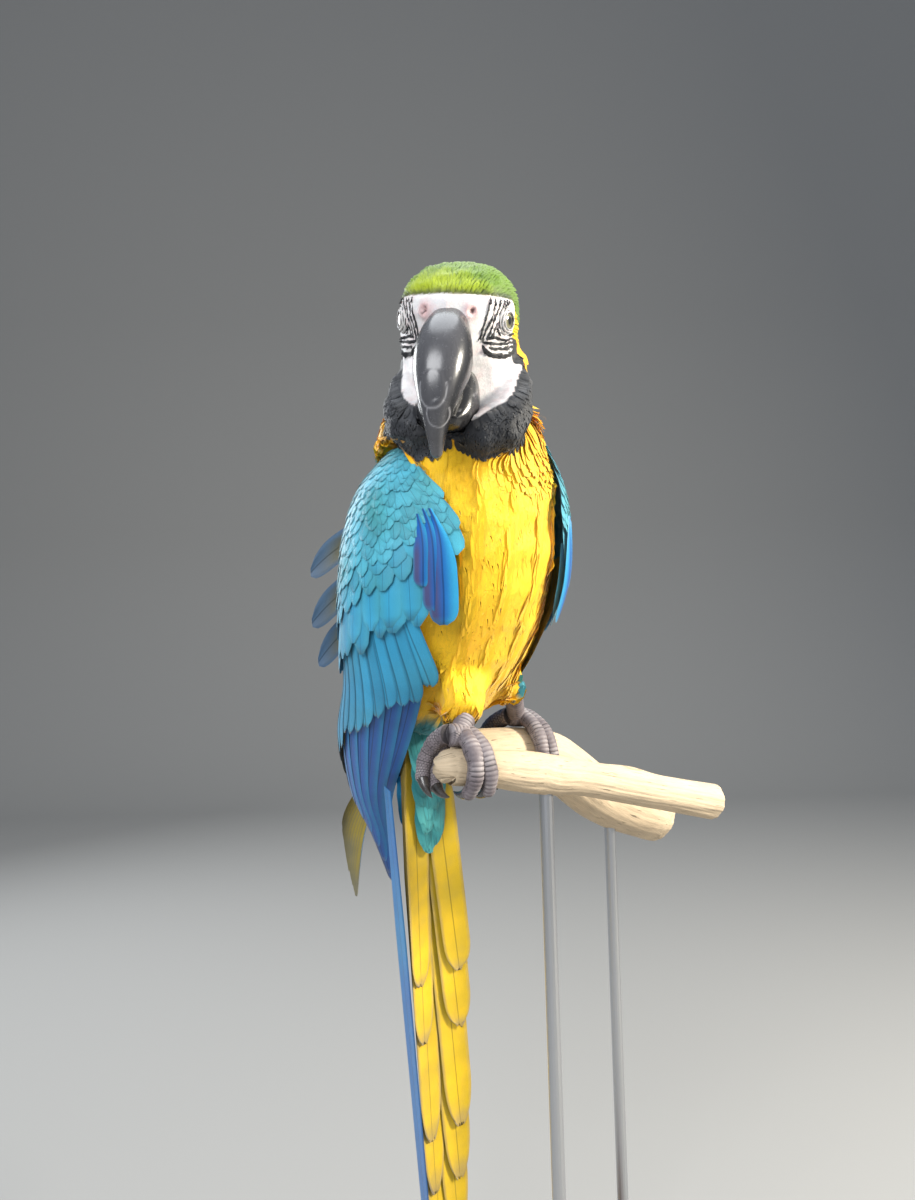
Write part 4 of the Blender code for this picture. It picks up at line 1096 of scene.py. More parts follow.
def dress_wing(name, side, rows, materials):
    """The wing's layers of feathers, from the scales of the shoulder to the primaries."""
    def add(kind, lay, count, columns, outline, tint, replaced=(), ragged=0.0, under=None, material="covert",
            slot="turquoise_feathers"):
        outer, inner, lie, *shares = lay.grids(side, rows, count, columns, outline, ragged)
        roots = 0.02 + 0.9 * lay.root[:, ::-1].clip(0, 1)
        made = vanes(f"{name}_{kind}", outer, tint(outer, *shares), lie, materials[material],
                     inner if under else None, under(outer, *shares) if under else None, roots)
        return dress(made, slot, *replaced)

    def bright(number):
        return RANDOM.uniform(0.88, 1.15, (number, 1, 1, 1))

    def yellow_below(points, across, edge, share):
        return mix(OLIVE, GREY_OLIVE, np.clip(rim(edge, share, 0.55) + 0.25 * waves(points, 8.0), 0, 1))

    for kind, style in COVERTS.items():
        root, tip = covert_rows(rows, partial(covert_end, style["follows"], after=style["after"]),
                                partial(covert_end, kind), style["pitch"], style["width"])
        wide = style["width"] * RANDOM.uniform(1.1, 1.6, len(root))
        tip = tip + RANDOM.normal(0, 1, tip.shape) * (1.3 / wing_length(rows), 0.012)
        light = bright(len(root))

        def tint(points, across, edge, share, light=light, blue=style["blue"]):
            return covert_tint(points, edge, share, blue, light)
        add(f"{kind}_coverts", Lay(root, tip, wide, style["deep"], COVERT_TILT, COVERT_CAMBER), COVERT_ROWS,
            COVERT_COLUMNS, shingle, tint, [f"{name}_wing_coverts"] if kind == "lesser" else ())

    place = (np.arange(SECONDARIES) + 0.5) / SECONDARIES
    tips = np.stack([0.555 + 0.24 * place + RANDOM.normal(0, 0.006, SECONDARIES), place], -1)
    roots = np.stack([0.27 + 0.05 * place, place + 0.22 * (1 - place) ** 2], -1)
    light = bright(SECONDARIES)

    def secondary_tint(points, across, edge, share):
        tint = mix(mix(CYAN, TURQUOISE, 0.5), CYAN, cloud(points, 25.0, 0.5, 0.5))
        tint = mix(tint, DEEP_BLUE, 0.55 * step(0.75, 1.0, across))
        tint = mix(tint, NAVY, 0.7 * step(0.45, 0.98, edge) + 0.35 * step(0.9, 1.0, -edge))
        # Darker towards the root: a painted shade under the greater coverts.
        return tint * light * (0.8 + 0.25 * step(0.3, 0.9, share))[..., None]

    lay = Lay(roots, tips, FLIGHT_WIDTH, (4.8, 3.7 + 0.5 * (1 - place)), 0.55, 0.35, 0.35)
    add("secondaries_vanes", lay, 40, FLIGHT_COLUMNS, blade, secondary_tint, [f"{name}_secondaries"], 2.2,
        yellow_below, "flight")

    place = np.linspace(0, 1, PRIMARIES)
    tips = np.stack([1.0 - PRIMARY_RISE[name] * place ** 1.1, 0.16 + 0.72 * place], -1)
    roots = np.stack([0.45 + 0.04 * place, 0.10 + 0.80 * place], -1)
    shine = bright(PRIMARIES)

    def primary_tint(points, across, edge, share):
        tint = mix(DEEP_BLUE, VIOLET, 0.18 * peak(edge, -0.35, 0.25))
        tint = mix(tint, CYAN, 0.6 * step(-0.2, -1.0, edge))
        tint = mix(tint, NAVY, 0.8 * step(0.1, 0.8, edge))
        return tint * shine

    lay = Lay(roots, tips, FLIGHT_WIDTH, (7.6, 6.2 + 0.8 * (1 - place)), 0.5, 0.3, 0.35)
    add("primaries_vanes", lay, 44, FLIGHT_COLUMNS, blade, primary_tint, [f"{name}_primaries"], 1.0,
        yellow_below, "flight", "blue_feathers")

    tips = np.array([(0.345, 0.075), (0.395, 0.035), (0.42, 0.005)])
    roots = np.array([(0.20, 0.075), (0.19, 0.045), (0.19, 0.02)])

    def alula_tint(points, across, edge, share):
        tint = mix(CYAN, DEEP_BLUE, step(-0.9, 0.1, edge))
        tint = mix(tint, PLUM, 0.75 * step(0.0, 0.55, edge) * step(0.2, 0.6, share))
        return mix(tint, CYAN, 0.5 * rim(edge, share, 0.85))

    def alula_outline(share):
        return blade(share) * (0.25 + 0.75 * step(0.0, 0.55, share))
    lay = Lay(roots, tips, [11.0, 13.0, 15.0], (0.4, [-0.4, -1.0, -1.6]), 0.2, 0.7, 0.4)
    add("alula_vanes", lay, 26, FLIGHT_COLUMNS, alula_outline, alula_tint, [f"{name}_alula"], 0.6,
        yellow_below, "flight", "blue_feathers")


# --- Tertials and tail ----------------------------------------------------------------------

def golden(points, edge, share):
    """The yellow underside of a flight feather, with greyish margins and tip."""
    tint = mix(GOLD, OLD_GOLD, cloud(points, 12.0, 0.4, 0.5))
    worn = step(0.72, 1.0, np.abs(edge)) * 0.6 + 0.6 * step(0.93, 1.0, share) + 0.12 * waves(points, 4.0)
    return mix(tint, WORN_GOLD, np.clip(worn, 0, 1))


def tertials(material):
    """The left wing's three innermost feathers, which stand away from the back."""
    start, end = (to_world(BIRD, [pair[at] for pair in TERTIALS]) for at in (0, 1))
    run = unit(end - start)
    facing = unit(levelled(turned(BIRD, (0, -1, 0)), run))
    across = np.cross(run, facing)
    share = np.linspace(0, 1, TERTIAL_ROWS)
    edge = np.linspace(-1, 1, TERTIAL_COLUMNS)
    half = 0.5 * TERTIAL_WIDTH * blade(share) * (0.6 + 0.4 * np.minimum(3 * share, 1))
    line = start[:, None] + (end - start)[:, None] * share[None, :, None]
    line[..., 2] -= TERTIAL_DROOP * share ** 3
    reach = half[:, None] * edge
    grid = line[:, :, None] + across[:, None, None] * reach[None, ..., None]
    grid = grid + facing[:, None, None] * (0.9 * (1 - edge ** 2))[None, None, :, None]
    share = share[None, :, None]
    length = np.linalg.norm(end - start, axis=-1)[:, None, None]
    reach, run, edges, shares = (np.broadcast_to(part, grid.shape[:3])
                                 for part in (reach, length * share, edge, share))
    worn = np.clip(rim(edges, shares, 0.45) + 0.3 * step(0.2, -0.6, edges), 0, 1)
    colour = mix(BROWN_OLIVE, SLATE_BLUE, worn)
    # The underside is the upper colour darkened: a painted shade on the side that faces the bird's back.
    grid, lie, colour, below, shaded_below = (
        part[:, :, ::-1] for part in (grid, np.stack([reach, run], -1), colour,
                                      grid - 0.4 * facing[:, None, None], colour * 0.7))
    made = vanes("left_tertial_vanes", grid, colour, lie, material, below, shaded_below,
                 np.tile([0.5, 0.5], (3, 1)))
    dress(made, "tail_feathers", "left_tertial_1", "left_tertial_2", "left_tertial_3")


def tail_point(left, below, ventral):
    """A point of the tail: across it, down it, and towards the belly's side of it."""
    droop = TAIL_GUTTER * (np.abs(left) / TAIL_HALF_WIDTH) ** 2.2
    return placed(TAIL, np.stack([left, -(ventral + droop), -below], -1))


def tail(material):
    """Twelve long feathers, the outer ones shortest and in front, one rolled at the edge."""
    share, edge = np.meshgrid(np.linspace(0, 1, TAIL_ROWS), np.linspace(-1, 1, TAIL_COLUMNS), indexing="ij")
    level = TAIL_STEP * (2 * len(TAIL_PAIRS) - 1)
    for pair, (length, width, fan) in enumerate(TAIL_PAIRS, start=1):
        for side, sign in (("left", 1), ("right", -1)):
            rolled = pair == len(TAIL_PAIRS) and sign < 0
            torn = RANDOM.random(TAIL_COLUMNS)

            def place(deep, sign=sign, length=length, width=width, fan=fan, torn=torn, level=level):
                half = 0.5 * width * blade(share) * (1.0 - 0.22 * share)
                left = sign * fan * (0.5 + 0.7 * share) + half * edge
                fray = 4.0 * torn * share ** 30 + 0.4 * torn[::-1] * np.abs(edge) ** 6
                return tail_point(left, length * share - fray, level + deep - 0.5 * (1 - edge ** 2))

            def rolled_place(deep, length=length):
                left, ventral, roll, width = ROLLED
                reach = 0.5 * width * blade(share) * (1.0 - 0.3 * share) * edge
                turn = math.radians(roll)
                x = left * (1 - 0.25 * share) - reach * math.cos(turn) - deep * math.sin(turn)
                y = ventral + reach * math.sin(turn) - deep * math.cos(turn)
                down = -ROLLED_ROOT - (length - ROLLED_ROOT) * share
                return placed(TAIL, np.stack([x, -y, down], -1))

            outer, inner = ((rolled_place if rolled else place)(deep) for deep in (0.0, TAIL_THICK))
            above = mix(DEEP_BLUE, CYAN, cloud(outer, 30.0, 0.30, 0.4))
            above = mix(above, NAVY, 0.5 * step(0.75, 1.0, np.abs(edge)))
            below = above
            if not rolled:
                # Darker near the root: a painted shade under the undertail coverts.
                below = golden(inner, edge, share) * (1 - 0.25 * step(0.16, 0.0, share))[..., None]
            lie = np.stack([0.5 * width * edge, length * share], -1)
            roots = np.array([[0.05 + 0.07 * (2 * pair + (sign > 0)), 0.5]])
            made = vanes(f"{side}_rectrix_{pair}_vane", outer[None], above[None], lie[None], material,
                         inner[None], below[None], roots)
            dress(made, "blue_feathers" if rolled else "tail_feathers", f"{side}_rectrix_{pair}")
            level -= TAIL_STEP


def tail_coverts(material):
    """Soft feathers over the tail's roots, teal below and blue above."""
    top_level = TAIL_STEP * 2 * len(TAIL_PAIRS) + 0.8
    share = np.linspace(0, 1, TAIL_COVERT_ROWS)
    for name, length, base, way, first, last, slot in (
            ("undertail_coverts", 78, top_level, 1, TEAL, BRIGHT_TEAL, "teal_feathers"),
            ("uppertail_coverts", 96, -0.3, -1, CYAN, TURQUOISE, "blue_feathers")):
        start = np.sort(RANDOM.random(TAIL_COVERTS)) * TAIL_COVERT_END
        left = RANDOM.uniform(-1, 1, TAIL_COVERTS) * TAIL_COVERT_HALF_WIDTH * 0.72 * np.sqrt(1 - start)
        long = RANDOM.uniform(22, 34, TAIL_COVERTS)
        root = (length - TAIL_COVERT_RISE) * start[:, None] / TAIL_COVERT_END
        below = np.minimum(-TAIL_COVERT_RISE + root + long[:, None] * share, length)
        bulk = 5.0 * (1 - start[:, None] / 0.7) + 1.2 * share
        line = tail_point(left[:, None] * (1 - 0.35 * share), below, base + way * bulk)
        facing = np.broadcast_to(TAIL[:3, :3] @ np.array([0.0, -way, 0.0]), line.shape)
        grid, lie = vane_grid(line, facing, RANDOM.uniform(9, 13, TAIL_COVERTS), 1.0, 9, leaf, 0.16, 0.15)
        tone = np.clip(0.5 + 0.6 * waves(grid, 9.0) + 0.3 * RANDOM.normal(size=(TAIL_COVERTS, 1, 1)), 0, 1)
        colour = mix(first, last, tone * np.linspace(0.3, 1, TAIL_COVERT_ROWS)[None, :, None])
        roots = np.stack([0.5 + 0.02 * left, 0.1 + start], -1)
        dress(vanes(name + "_vanes", grid, colour, lie, material, roots=roots), slot, name)


# --- Bill and eyes ---------------------------------------------------------------------------

# Two worn flakes low on the bill's front: across it, degrees along its arc, and radii.
FLAKES = [(-1.0, 8.0, 6.0, 11.0), (2.0, -6.0, 5.0, 8.0)]
LOWER_BILL_SQUARE = 0.6         # under 1, it squares off the lower bill's section
UPPER_BILL_MESH, LOWER_BILL_MESH, EYE_MESH = (120, 96), (50, 64), (120, 96)

# The radii at which the pupil, the iris's darker ring and the iris end.
PUPIL_EDGE, IRIS_FADE, IRIS_EDGE = (1.85, 2.05), (2.2, 3.4), (3.4, 3.8)
# The lid's closed section: from the eye's centre out over the lid, and its height.
LID_SECTION = [(4.3, 6.4), (4.0, 7.1), (4.3, 7.7), (4.9, 7.8), (5.6, 7.4), (6.3, 6.8), (7.0, 6.0), (7.7, 4.8),
               (7.6, 3.0), (6.4, 2.6), (5.0, 4.6), (4.3, 6.4)]
LID_CREASE = 1.15               # from one crease of the lid to the next


def squared(value, power):
    """A sine or cosine raised to a power with its sign kept, which squares off an oval."""
    return np.sign(value) * np.abs(value) ** power


def culmen_point(side, reach, degrees):
    """A point of the upper bill: across it, out from its arc's centre, and along the arc."""
    turn = np.radians(degrees)
    return to_world(HEAD, np.stack([side, CULMEN_CENTRE[0] + reach * np.cos(turn),
                                    CULMEN_CENTRE[1] + reach * np.sin(turn)], -1))


def from_flakes(side, degrees):
    """Each worn flake's place on the arc, and how far out of it each point is: 1 is its edge."""
    for across, centre, wide, tall in FLAKES:
        yield centre, np.hypot((side - across) / wide, (degrees - centre) / tall)


def bill(material):
    """The hooked upper bill with its flat front face, and the short lower bill inside it."""
    def upper(along, around):
        degrees, width, depth = read(UPPER_BILL, along)
        place = 2 * math.pi * around
        flat = np.where(np.sin(place) > 0, 0.80, 1.0)
        side = squared(np.cos(place), flat) * width / 2
        rise = squared(np.sin(place), flat) * depth / 2
        reach = CULMEN_RADIUS - depth / 2 + rise
        for _, off in from_flakes(side, degrees):
            reach = reach + 0.35 * step(1.05, 0.95, off) * (rise > 0)
        return culmen_point(side, reach, degrees)

    def upper_tint(along, around, points):
        degrees, width, _ = read(UPPER_BILL, along)
        place = 2 * math.pi * around
        side, front = np.cos(place) * width / 2, np.sin(place)
        # The front face is painted lighter grey than the black flanks, from a little below the root: a
        # painted sheen where the light falls on it.
        tint = mix(HORN, HORN_GREY, 0.55 * step(0.55, 0.9, front) * step(0.0, 0.2, along))
        tint = mix(tint, HORN_GREY, 0.8 * step(70, 80, degrees + 5 * waves(points, 1.3)))
        for centre, off in from_flakes(side, degrees):
            tint = mix(tint, HORN_PALE, 0.8 * peak(off, 1.0, 0.06) * (front > 0) * (degrees < centre + 4))
        margin = peak(front, -0.55, 0.10) * step(66, 40, degrees) * step(-0.5, 0.5, waves(points, 1.1))
        tint = mix(tint, HORN_PALE, 0.75 * margin)
        return mix(tint, HORN_GREY, step(-20, -36, degrees))

    tip = culmen_point(0.0, CULMEN_RADIUS - 3, UPPER_BILL_TIP)
    made = tube_mesh("upper_bill_horn", upper, upper_tint, *UPPER_BILL_MESH, material, tip)
    dress(made, "horn", "upper_bill")

    def lower(along, around):
        forward, up, half_width, below, above = read(LOWER_BILL, along)
        place = 2 * math.pi * around
        tall = np.where(np.sin(place) > 0, above, below)
        wide = squared(np.cos(place), LOWER_BILL_SQUARE) * half_width
        return to_world(HEAD, np.stack([wide, forward, up + tall * np.sin(place)], -1))

    def lower_tint(along, around, points):
        edge = peak(np.sin(2 * math.pi * around) - 0.25 - 0.5 * along, 0.0, 0.05)
        return mix(HORN, HORN_PALE, 0.7 * edge * step(-0.3, 0.6, waves(points, 1.4)))
    dress(tube_mesh("lower_bill_horn", lower, lower_tint, *LOWER_BILL_MESH, material), "horn", "lower_bill")


def eyes(eye_material, lid_material):
    """Glossy eyes with a small pupil, each in a ring of wrinkled lid."""
    for name, side in (("left", 1), ("right", -1)):
        centre, out, ahead, up = eye_axes(side)

        def ball(along, around):
            turn = math.pi * (0.002 + 0.996 * along)[..., None]
            place = (2 * math.pi * around)[..., None]
            level = ahead * np.cos(place) + up * np.sin(place)
            return centre + EYE_RADIUS * (out * np.cos(turn) + np.sin(turn) * level)

        def ball_tint(along, around, points):
            radius = EYE_RADIUS * np.sin(math.pi * along) + 10 * (along > 0.5)
            fibre = 0.12 * np.sin(2 * math.pi * around * 46) * (radius > IRIS_FADE[0])
            iris = mix(IRIS, PALE_IRIS, step(*IRIS_FADE, radius)) * (0.95 + fibre)[..., None]
            return mix(mix(PUPIL, iris, step(*PUPIL_EDGE, radius)), EYE_BLACK, step(*IRIS_EDGE, radius))
        made = tube_mesh(f"{name}_eyeball", ball, ball_tint, *EYE_MESH, eye_material)
        dress(made, "eye", f"{name}_eye")

        def crease_at(radius, place):
            return np.sin(2 * math.pi * radius / LID_CREASE + 1.2 * np.sin(3 * place))

        def lid(along, around):
            radius, rise = read(LID_SECTION, around)
            place = 2 * math.pi * along
            crease = 0.16 * crease_at(radius, place) * (rise > 4.5) + 0.07 * np.sin(place * 37) * (rise > 6.4)
            squash = 1 - 0.05 * np.abs(np.sin(place)) * step(8, 4, radius)
            return (centre + out * (rise + crease)[..., None] + ahead * (radius * np.cos(place))[..., None]
                    + up * (radius * squash * np.sin(place))[..., None])

        def lid_tint(along, around):
            radius, rise = read(LID_SECTION, around)
            broken = step(-0.8, -0.2, np.sin(14 * math.pi * along + 3 * radius))
            crease = step(-0.2, -0.6, crease_at(radius, 2 * math.pi * along))
            tint = mix(LID_PALE, LID_GREY, step(4.7, 4.3, radius))
            # Charcoal in the troughs of the creases is painted shade.
            return mix(tint, CHARCOAL, 0.9 * crease * broken * (rise > 4.5))
        made = ring_mesh(f"{name}_eyelids", lid, lid_tint, 96, 6 * (len(LID_SECTION) - 1), lid_material)
        dress(made, "crown_feathers")


# Lines of tiny black feathers, as left, forward and up on the head: down the lores, and
# below the eye, of which the lowest is the thick one.
LORES_LINES = [
    [(20.5, 13.0, 11.0), (19.6, 15.3, 3.5), (18.4, 16.8, -3.4), (17.4, 17.3, -8.8)],
    [(23.2, 9.5, 11.0), (21.8, 12.0, 4.0), (20.0, 14.2, -2.5), (18.6, 15.6, -9.0)],
    [(25.3, 6.0, 11.2), (24.0, 9.0, 5.0), (22.0, 12.0, -1.5), (20.2, 13.6, -8.2)],
    [(27.0, 2.0, 11.4), (26.2, 5.5, 6.5), (24.2, 9.0, 0.0), (22.0, 11.6, -7.6)],
    [(28.6, -2.0, 11.4), (28.0, 2.0, 8.5), (26.2, 6.2, 3.5), (24.6, 8.6, -2.5)],
    [(29.6, -6.0, 11.6), (29.4, -2.5, 9.6), (28.2, 2.0, 8.0), (26.8, 5.2, 5.0)],
]
EYE_LINES = [
    [(22.6, 9.8, -4.0), (24.4, 5.5, -6.6), (27.8, -1.0, -7.4), (30.0, -8.0, -6.0)],
    [(18.9, 14.3, -9.6), (22.5, 9.6, -8.8), (26.7, 3.3, -9.4), (30.4, -8.0, -8.2)],
    [(17.2, 15.0, -11.4), (21.5, 11.0, -11.8), (26.6, 2.2, -11.4), (30.1, -9.0, -10.4)],
    [(20.0, 12.2, -14.0), (23.0, 8.0, -14.3), (26.6, 2.0, -14.0), (29.8, -9.0, -12.8)],
]
THICK_LINE = [(17.2, 14.6, -13.2), (18.8, 12.1, -16.2), (22.5, 8.4, -17.8), (26.7, 1.1, -17.8),
              (30.2, -9.5, -15.6)]
LINE_SPACING, LINE_LENGTH, LINE_WIDTH, LINE_STRAY = 0.55, 2.6, 0.8, 0.12
LINE_SEARCH = 7                 # bake map places come from every seventh point of the skin


def face_lines(surface, material):
    """The narrow lines of tiny black feathers that cross the bare face."""
    places, ways, sizes = [], [], []
    # Each line, its rows of feathers side by side, and how wide they are.
    lines = [(line, 1, 1.25) for line in LORES_LINES] + [(line, 2, 1.0) for line in EYE_LINES]
    for side in (1, -1):
        for line, rows, size in lines + [(THICK_LINE, 4, 1.5)]:
            corners = np.array(line, float) * (side, 1, 1)
            length = np.linalg.norm(np.diff(corners, axis=0), axis=1).sum()
            share = np.linspace(0, 1, max(int(length / LINE_SPACING), 3))
            world = to_world(HEAD, smooth(corners, share))
            for row in range(rows):
                places.append(world + turned(HEAD, (0, 0, 0.35 * (row - 0.5 * rows))))
                ways.append(unit(np.gradient(world, axis=0)))
                sizes.append(np.full(len(world), size))
    places, ways, sizes = (np.concatenate(part) for part in (places, ways, sizes))
    roots, facing = surface.nearest(places + RANDOM.normal(0, LINE_STRAY, places.shape))
    share = np.linspace(0, 1, 4)
    ways = unit(levelled(ways, facing) + RANDOM.normal(0, LINE_STRAY, ways.shape))
    line = roots[:, None] + ways[:, None] * (LINE_LENGTH * share)[None, :, None] \
        + facing[:, None] * (0.05 + 0.4 * share)[None, :, None]
    faces = np.broadcast_to(facing[:, None], line.shape)
    grid, lie = vane_grid(line, faces, LINE_WIDTH * sizes, 0.12, 3, leaf, 0.0, 0.2)
    colour = np.broadcast_to(np.array(BLACK), grid.shape)
    off = surface.points[None, ::LINE_SEARCH] - roots[:, None]
    places = surface.unwrap[np.argmin((off ** 2).sum(-1), 1) * LINE_SEARCH]
    dress(vanes("coat_face_lines", grid, colour, lie, material, roots=places), "throat_feathers")


# --- Feet and perch ---------------------------------------------------------------------------

def limb_frame(limb, share):
    """Points of a limb's axis, its direction, its side and its upward normal."""
    axis = np.array(LIMBS[limb], float)[:, :3]
    run = unit(smooth(axis, np.minimum(share + 0.01, 1.0)) - smooth(axis, np.maximum(share - 0.01, 0.0)))
    side = unit(np.cross(run, (0.0, 0.0, 1.0)))
    return smooth(axis, share), run, side, np.cross(side, run)


def off_knots(limb, share, degrees):
    """How far each place is from each knot of a limb, along it and round it, and its height."""
    for name, at, facing, height in KNOTS:
        if name == limb:
            yield share - at, (degrees - facing + 180) % 360 - 180, height


def limb_radius(limb, share, degrees):
    radius = smooth(LIMBS[limb], share)[..., 3]
    for along, around, height in off_knots(limb, share, degrees):
        radius = radius + height * np.exp(-(along / 0.04) ** 2 - (around / 45.0) ** 2)
    return radius


def grip(foot, along, degrees, reach):
    """Points round a foot's limb: along it, turned from its top, and out from its face; and
    the outward directions there."""
    place, run, side, upward = limb_frame(foot["limb"], np.asarray(foot["at"]))
    radius = limb_radius(foot["limb"], foot["at"], 90.0) + np.asarray(reach)
    angle = np.radians(np.asarray(degrees, float))
    out = np.stack([np.sin(angle), np.cos(angle)], -1) @ np.stack([side, upward])
    line = place + run * np.asarray(along)[..., None] + out * radius[..., None]
    return line, np.broadcast_to(out, line.shape)


def round_line(line, out, radius, around):
    """Rings about a line that keep one side towards out."""
    run = unit(np.gradient(line, axis=0))
    out = unit(levelled(out, run))
    beside = np.cross(run, out)
    turn = (2 * math.pi * around)[..., None]
    return line[:, None] + radius[..., None] * (out[:, None] * np.cos(turn) + beside[:, None] * np.sin(turn))


def read_line(rows, share):
    """Evenly spaced rows read at shares of the way through them, with straight runs between."""
    return np.stack([np.interp(share, np.linspace(0, 1, len(rows)), column) for column in rows.T], -1)


def scales(along, around, length, girth, pitch):
    """A relief of broad scutes over a toe's outside and small beads elsewhere, from 0 to 1."""
    turn = np.cos(2 * math.pi * around)
    scute = np.abs(np.sin(math.pi * along * length / pitch)) ** 0.5
    bead = 0.55 * pitch
    row = np.floor(along * length / bead)
    beads = (np.abs(np.sin(math.pi * along * length / bead))
             * np.abs(np.sin(math.pi * (around * girth / bead + 0.5 * (row % 2))))) ** 0.5
    return np.where(turn > 0.45, scute, beads)


def feet(skin, horn):
    """Each foot: two toes before the limb and two behind it, a palm, a shank and claws."""
    start, end, palm = PALM
    share = np.linspace(0, 1, 40)
    for name, foot in FEET.items():
        pieces = []

        def part(kind, line, out, radius, length, girth, pitch):
            def place(along, around):
                share = along[:, 0]
                wide = np.interp(share, np.linspace(0, 1, len(radius)), radius)[:, None]
                bumps = SCALE_RELIEF * (scales(along, around, length, girth, pitch) - 0.5)
                return round_line(read_line(line, share), read_line(out, share), wide + bumps, around)

            def tint(along, around, points):
                height = scales(along, around, length, girth, pitch)
                # Dark in the grooves between the scales: a painted shade.
                tone = mix(FOOT_GROOVE_SHADE, FOOT_GREY, step(0.15, 0.5, height))
                return mix(tone, FOOT_PALE, cloud(points, 5.0, 0.35, 0.55) * step(0.5, 0.95, height))
            count = max(int(length / FOOT_RING_PITCH), 12)
            pieces.append(tube_mesh(f"{name}_foot_{kind}", place, tint, count, FOOT_COLUMNS, skin))

        toe = foot["toe"]
        line, out = grip(foot, start + (end - start) * share, 0.0, palm + 0.3)
        rounded = palm * np.sqrt(np.clip(1 - (2 * share - 1) ** 8, 0.05, 1))
        part("palm", line, out, rounded, end - start, 40, 2.4)
        knee = to_world(BIRD, foot["knee"])
        base, _ = grip(foot, (start + end) / 2, 0.0, palm)
        line = base + (knee - base) * share[:, None]
        part("shank", line, np.broadcast_to(turned(BIRD, (0, 1, 0)), line.shape),
             np.full(len(share), SHANK_RADIUS), float(np.linalg.norm(knee - base)), 35, 2.2)
        for number, (first, last, arc) in enumerate(TOES, start=1):
            way = math.copysign(1, arc)
            lift = 2.0 * (1 - np.minimum(share * 3, 1.0))
            line, out = grip(foot, first + (last - first) * share, arc * share, toe + 0.3 + lift)
            radius = toe * (1.04 - 0.26 * share + 0.05 * np.cos(2 * math.pi * share * 3))
            radius = radius * round_tip(share, 0.93, 0.075, 0.05)
            length = float(np.linalg.norm(np.diff(line, axis=0), axis=1).sum())
            part(f"toe_{number}", line, out, radius, length, 30, 3.4 if arc < 0 else 2.3)
            tip = toe * 0.78
            begin = arc + way * (CLAW_CLEAR - CLAW_ROOT)

            def claw(along, around, first=last, begin=begin, way=way, tip=tip):
                share = along[:, 0]
                line, out = grip(foot, first, begin + way * (CLAW_ARC + CLAW_ROOT) * share,
                                 tip + CLAW_LIFT + 2.0 * share ** 2)
                return round_line(line, out, (3.3 * (1 - share) ** 0.8 + 0.15)[:, None], around)

            def claw_tint(along, around, points):
                return mix(CLAW_BLACK, CLAW_BROWN, cloud(points, 3.0, 0.5, 0.5))
            made = tube_mesh(f"{name}_claw_{number}_horn", claw, claw_tint, *CLAW_MESH, horn)
            dress(made, "horn", f"{name}_claw_{number}")
        for piece in pieces:
            dress(piece, "foot_skin", f"{name}_foot")


def perch(material):
    """Two lengths of bare driftwood, weathered along the grain, with knots."""
    for limb, rows in LIMBS.items():
        length = float(np.linalg.norm(np.diff(np.array(rows)[:, :3], axis=0), axis=1).sum())

        def place(along, around, limb=limb, length=length):
            centre, _, side, upward = limb_frame(limb, along)
            turn = 2 * math.pi * around
            radius = limb_radius(limb, along, np.degrees(turn))
            grain = np.stack([np.cos(turn) * 12, np.sin(turn) * 12, along * length * 0.08], -1)
            radius = (radius + 0.45 * waves(grain, 2.6) + 0.22 * waves(grain, 0.9, 1.0))[..., None]
            return centre + radius * (side * np.cos(turn)[..., None] + upward * np.sin(turn)[..., None])

        def tint(along, around, points, limb=limb):
            dark = np.zeros(along.shape)
            for off_along, off_around, _ in off_knots(limb, along, 360 * around):
                ring = np.hypot(off_along / 0.035, off_around / 34.0)
                dark = np.maximum(dark, step(1.1, 0.2, ring) * (0.55 + 0.35 * np.cos(ring * 14)))
            return mix(WOOD, WOOD_DARK, np.clip(dark + 0.18 * waves(points, 22.0), 0, 1))
        made = tube_mesh(f"{limb}_wood", place, tint, *LIMB_MESH, material, scale=(90.0, length))
        made.data.set_sharp_from_angle(angle=math.radians(60))
        dress(made, "driftwood", f"perch_{limb}")


def stand_materials():
    """The plain display stand: an oiled wooden base and two brushed steel rods."""
    wood, tree, shader = principled("stand_wood", roughness=0.42, specular_ior_level=0.4, coat_weight=0.15)
    fibres = noise(tree, stretched(tree, object_place(tree), (3.0, 60.0, 60.0)), 2.0, 6.0, Distortion=0.8)
    shade = node(tree, "ShaderNodeMix", {"Factor": fibres}, data_type="RGBA")
    shade.inputs["A"].default_value = (*STAND_DARK, 1)
    shade.inputs["B"].default_value = (*STAND_LIGHT, 1)
    tree.links.new(shade.outputs["Result"], shader.inputs["Base Color"])
    bump(tree, shader, fibres, 0.12, 0.2)
    steel, _, _ = principled("stand_steel", base_color=STEEL, metallic=1.0, roughness=0.32)
    for name, material, slot in (("stand_base", wood, "stand_wood"), ("stand_rod_near", steel, "stand_steel"),
                                 ("stand_rod_far", steel, "stand_steel")):
        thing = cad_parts[name]
        for place in thing.material_slots:
            place.material = material


# --- Room, light and camera -------------------------------------------------------------------

CAMERA_AT, CAMERA_TILT, CAMERA_ROLL, LENS = (-25, -580, 540), 91.9, -1.7, 27.03
# Each light's name, place in metres, size, watts and colour; all of them face LIGHTS_AIM.
LIGHTS = [
    ("key", (1.45, -0.30, 1.10), 0.40, 54, (1.0, 0.93, 0.80)),
    ("front", (-0.7, -1.6, 1.5), 1.2, 34, (0.97, 0.98, 1.0)),
    ("sky", (0.0, 0.2, 2.3), 1.6, 24, (0.92, 0.96, 1.0)),
    ("rim", (-1.2, 1.2, 1.2), 0.8, 16, (0.95, 0.98, 1.0)),
]
LIGHTS_AIM = (-0.02, -0.05, 0.55)
SKY_STRENGTH = 0.45


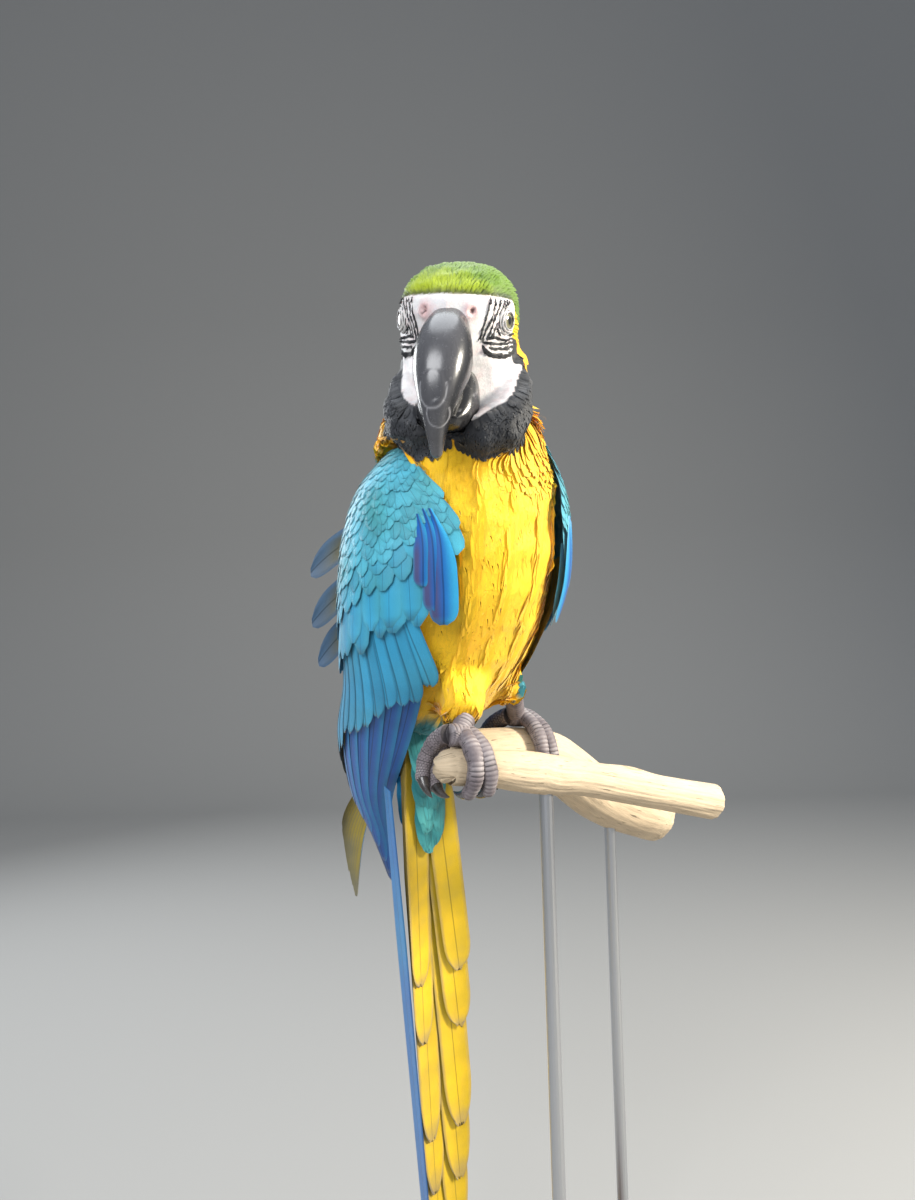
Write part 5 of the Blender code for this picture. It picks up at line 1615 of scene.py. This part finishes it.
def lit(name, at, size, watts, colour):
    data = bpy.data.lights.new(name, "AREA")
    data.shape, data.size, data.energy, data.color = "DISK", size, watts, colour
    made = linked(name, data)
    made.location = at
    made.rotation_euler = (Vector(LIGHTS_AIM) - Vector(at)).to_track_quat("-Z", "Y").to_euler()


def studio():
    """A pale floor that curves up behind the bird, soft light, and a warm key from the right."""
    floor, _, _ = principled("floor", base_color=FLOOR, roughness=0.9)
    half, front, depth, height, bend, steps = 4.0, -3.0, 2.2, 4.0, 1.0, 24
    profile = [(front, 0.0)] + [(depth + bend * math.sin(turn), bend * (1 - math.cos(turn)))
                                for turn in np.linspace(0, math.pi / 2, steps)] + [(depth + bend, height)]
    points = [(x, y, z) for y, z in profile for x in (-half, half)]
    faces = [(2 * i, 2 * i + 1, 2 * i + 3, 2 * i + 2) for i in range(len(profile) - 1)]
    mesh = bpy.data.meshes.new("studio_floor")
    mesh.from_pydata(points, [], faces)
    mesh.shade_smooth()
    mesh.materials.append(floor)
    made = linked("studio_floor", mesh)
    world = bpy.data.worlds.new("studio")
    world.use_nodes = True
    background = world.node_tree.nodes["Background"]
    background.inputs["Color"].default_value = (*SKY, 1)
    background.inputs["Strength"].default_value = SKY_STRENGTH
    bpy.context.scene.world = world
    for light in LIGHTS:
        lit(*light)


def camera():
    data = bpy.data.cameras.new("camera")
    data.sensor_fit, data.sensor_width, data.lens = "AUTO", 36.0, LENS
    data.clip_start, data.clip_end = 0.02, 50.0
    made = linked("camera", data)
    made.matrix_world = (Matrix.Translation(Vector(CAMERA_AT) * MM)
                         @ Matrix.Rotation(math.radians(CAMERA_TILT), 4, "X")
                         @ Matrix.Rotation(math.radians(CAMERA_ROLL), 4, "Z"))
    bpy.context.scene.camera = made


def main():
    soft = feather_material("soft_feathers", 0.55, 0.9, 0.22)
    covert = feather_material("covert_feathers", 0.55, 0.9, 0.28, 0.5, 0.16)
    flight = feather_material("flight_feathers", 0.7, 1.3, 0.26, 0.42, 0.45, 0.15)
    horn = horn_material()
    skin = make_skin()
    surface = Surface(skin)
    body_coat(surface, soft)
    face_lines(surface, soft)
    for name, (side, rows) in WINGS.items():
        dress_wing(name, side, rows, {"covert": covert, "flight": flight})
    tertials(flight)
    tail(flight)
    tail_coverts(covert)
    bill(horn)
    eyes(eye_material(), skin.data.materials[0])
    feet(foot_material(), horn)
    perch(wood_material())
    stand_materials()
    studio()
    camera()
    bpy.context.scene.view_settings.view_transform = "Standard"


main()
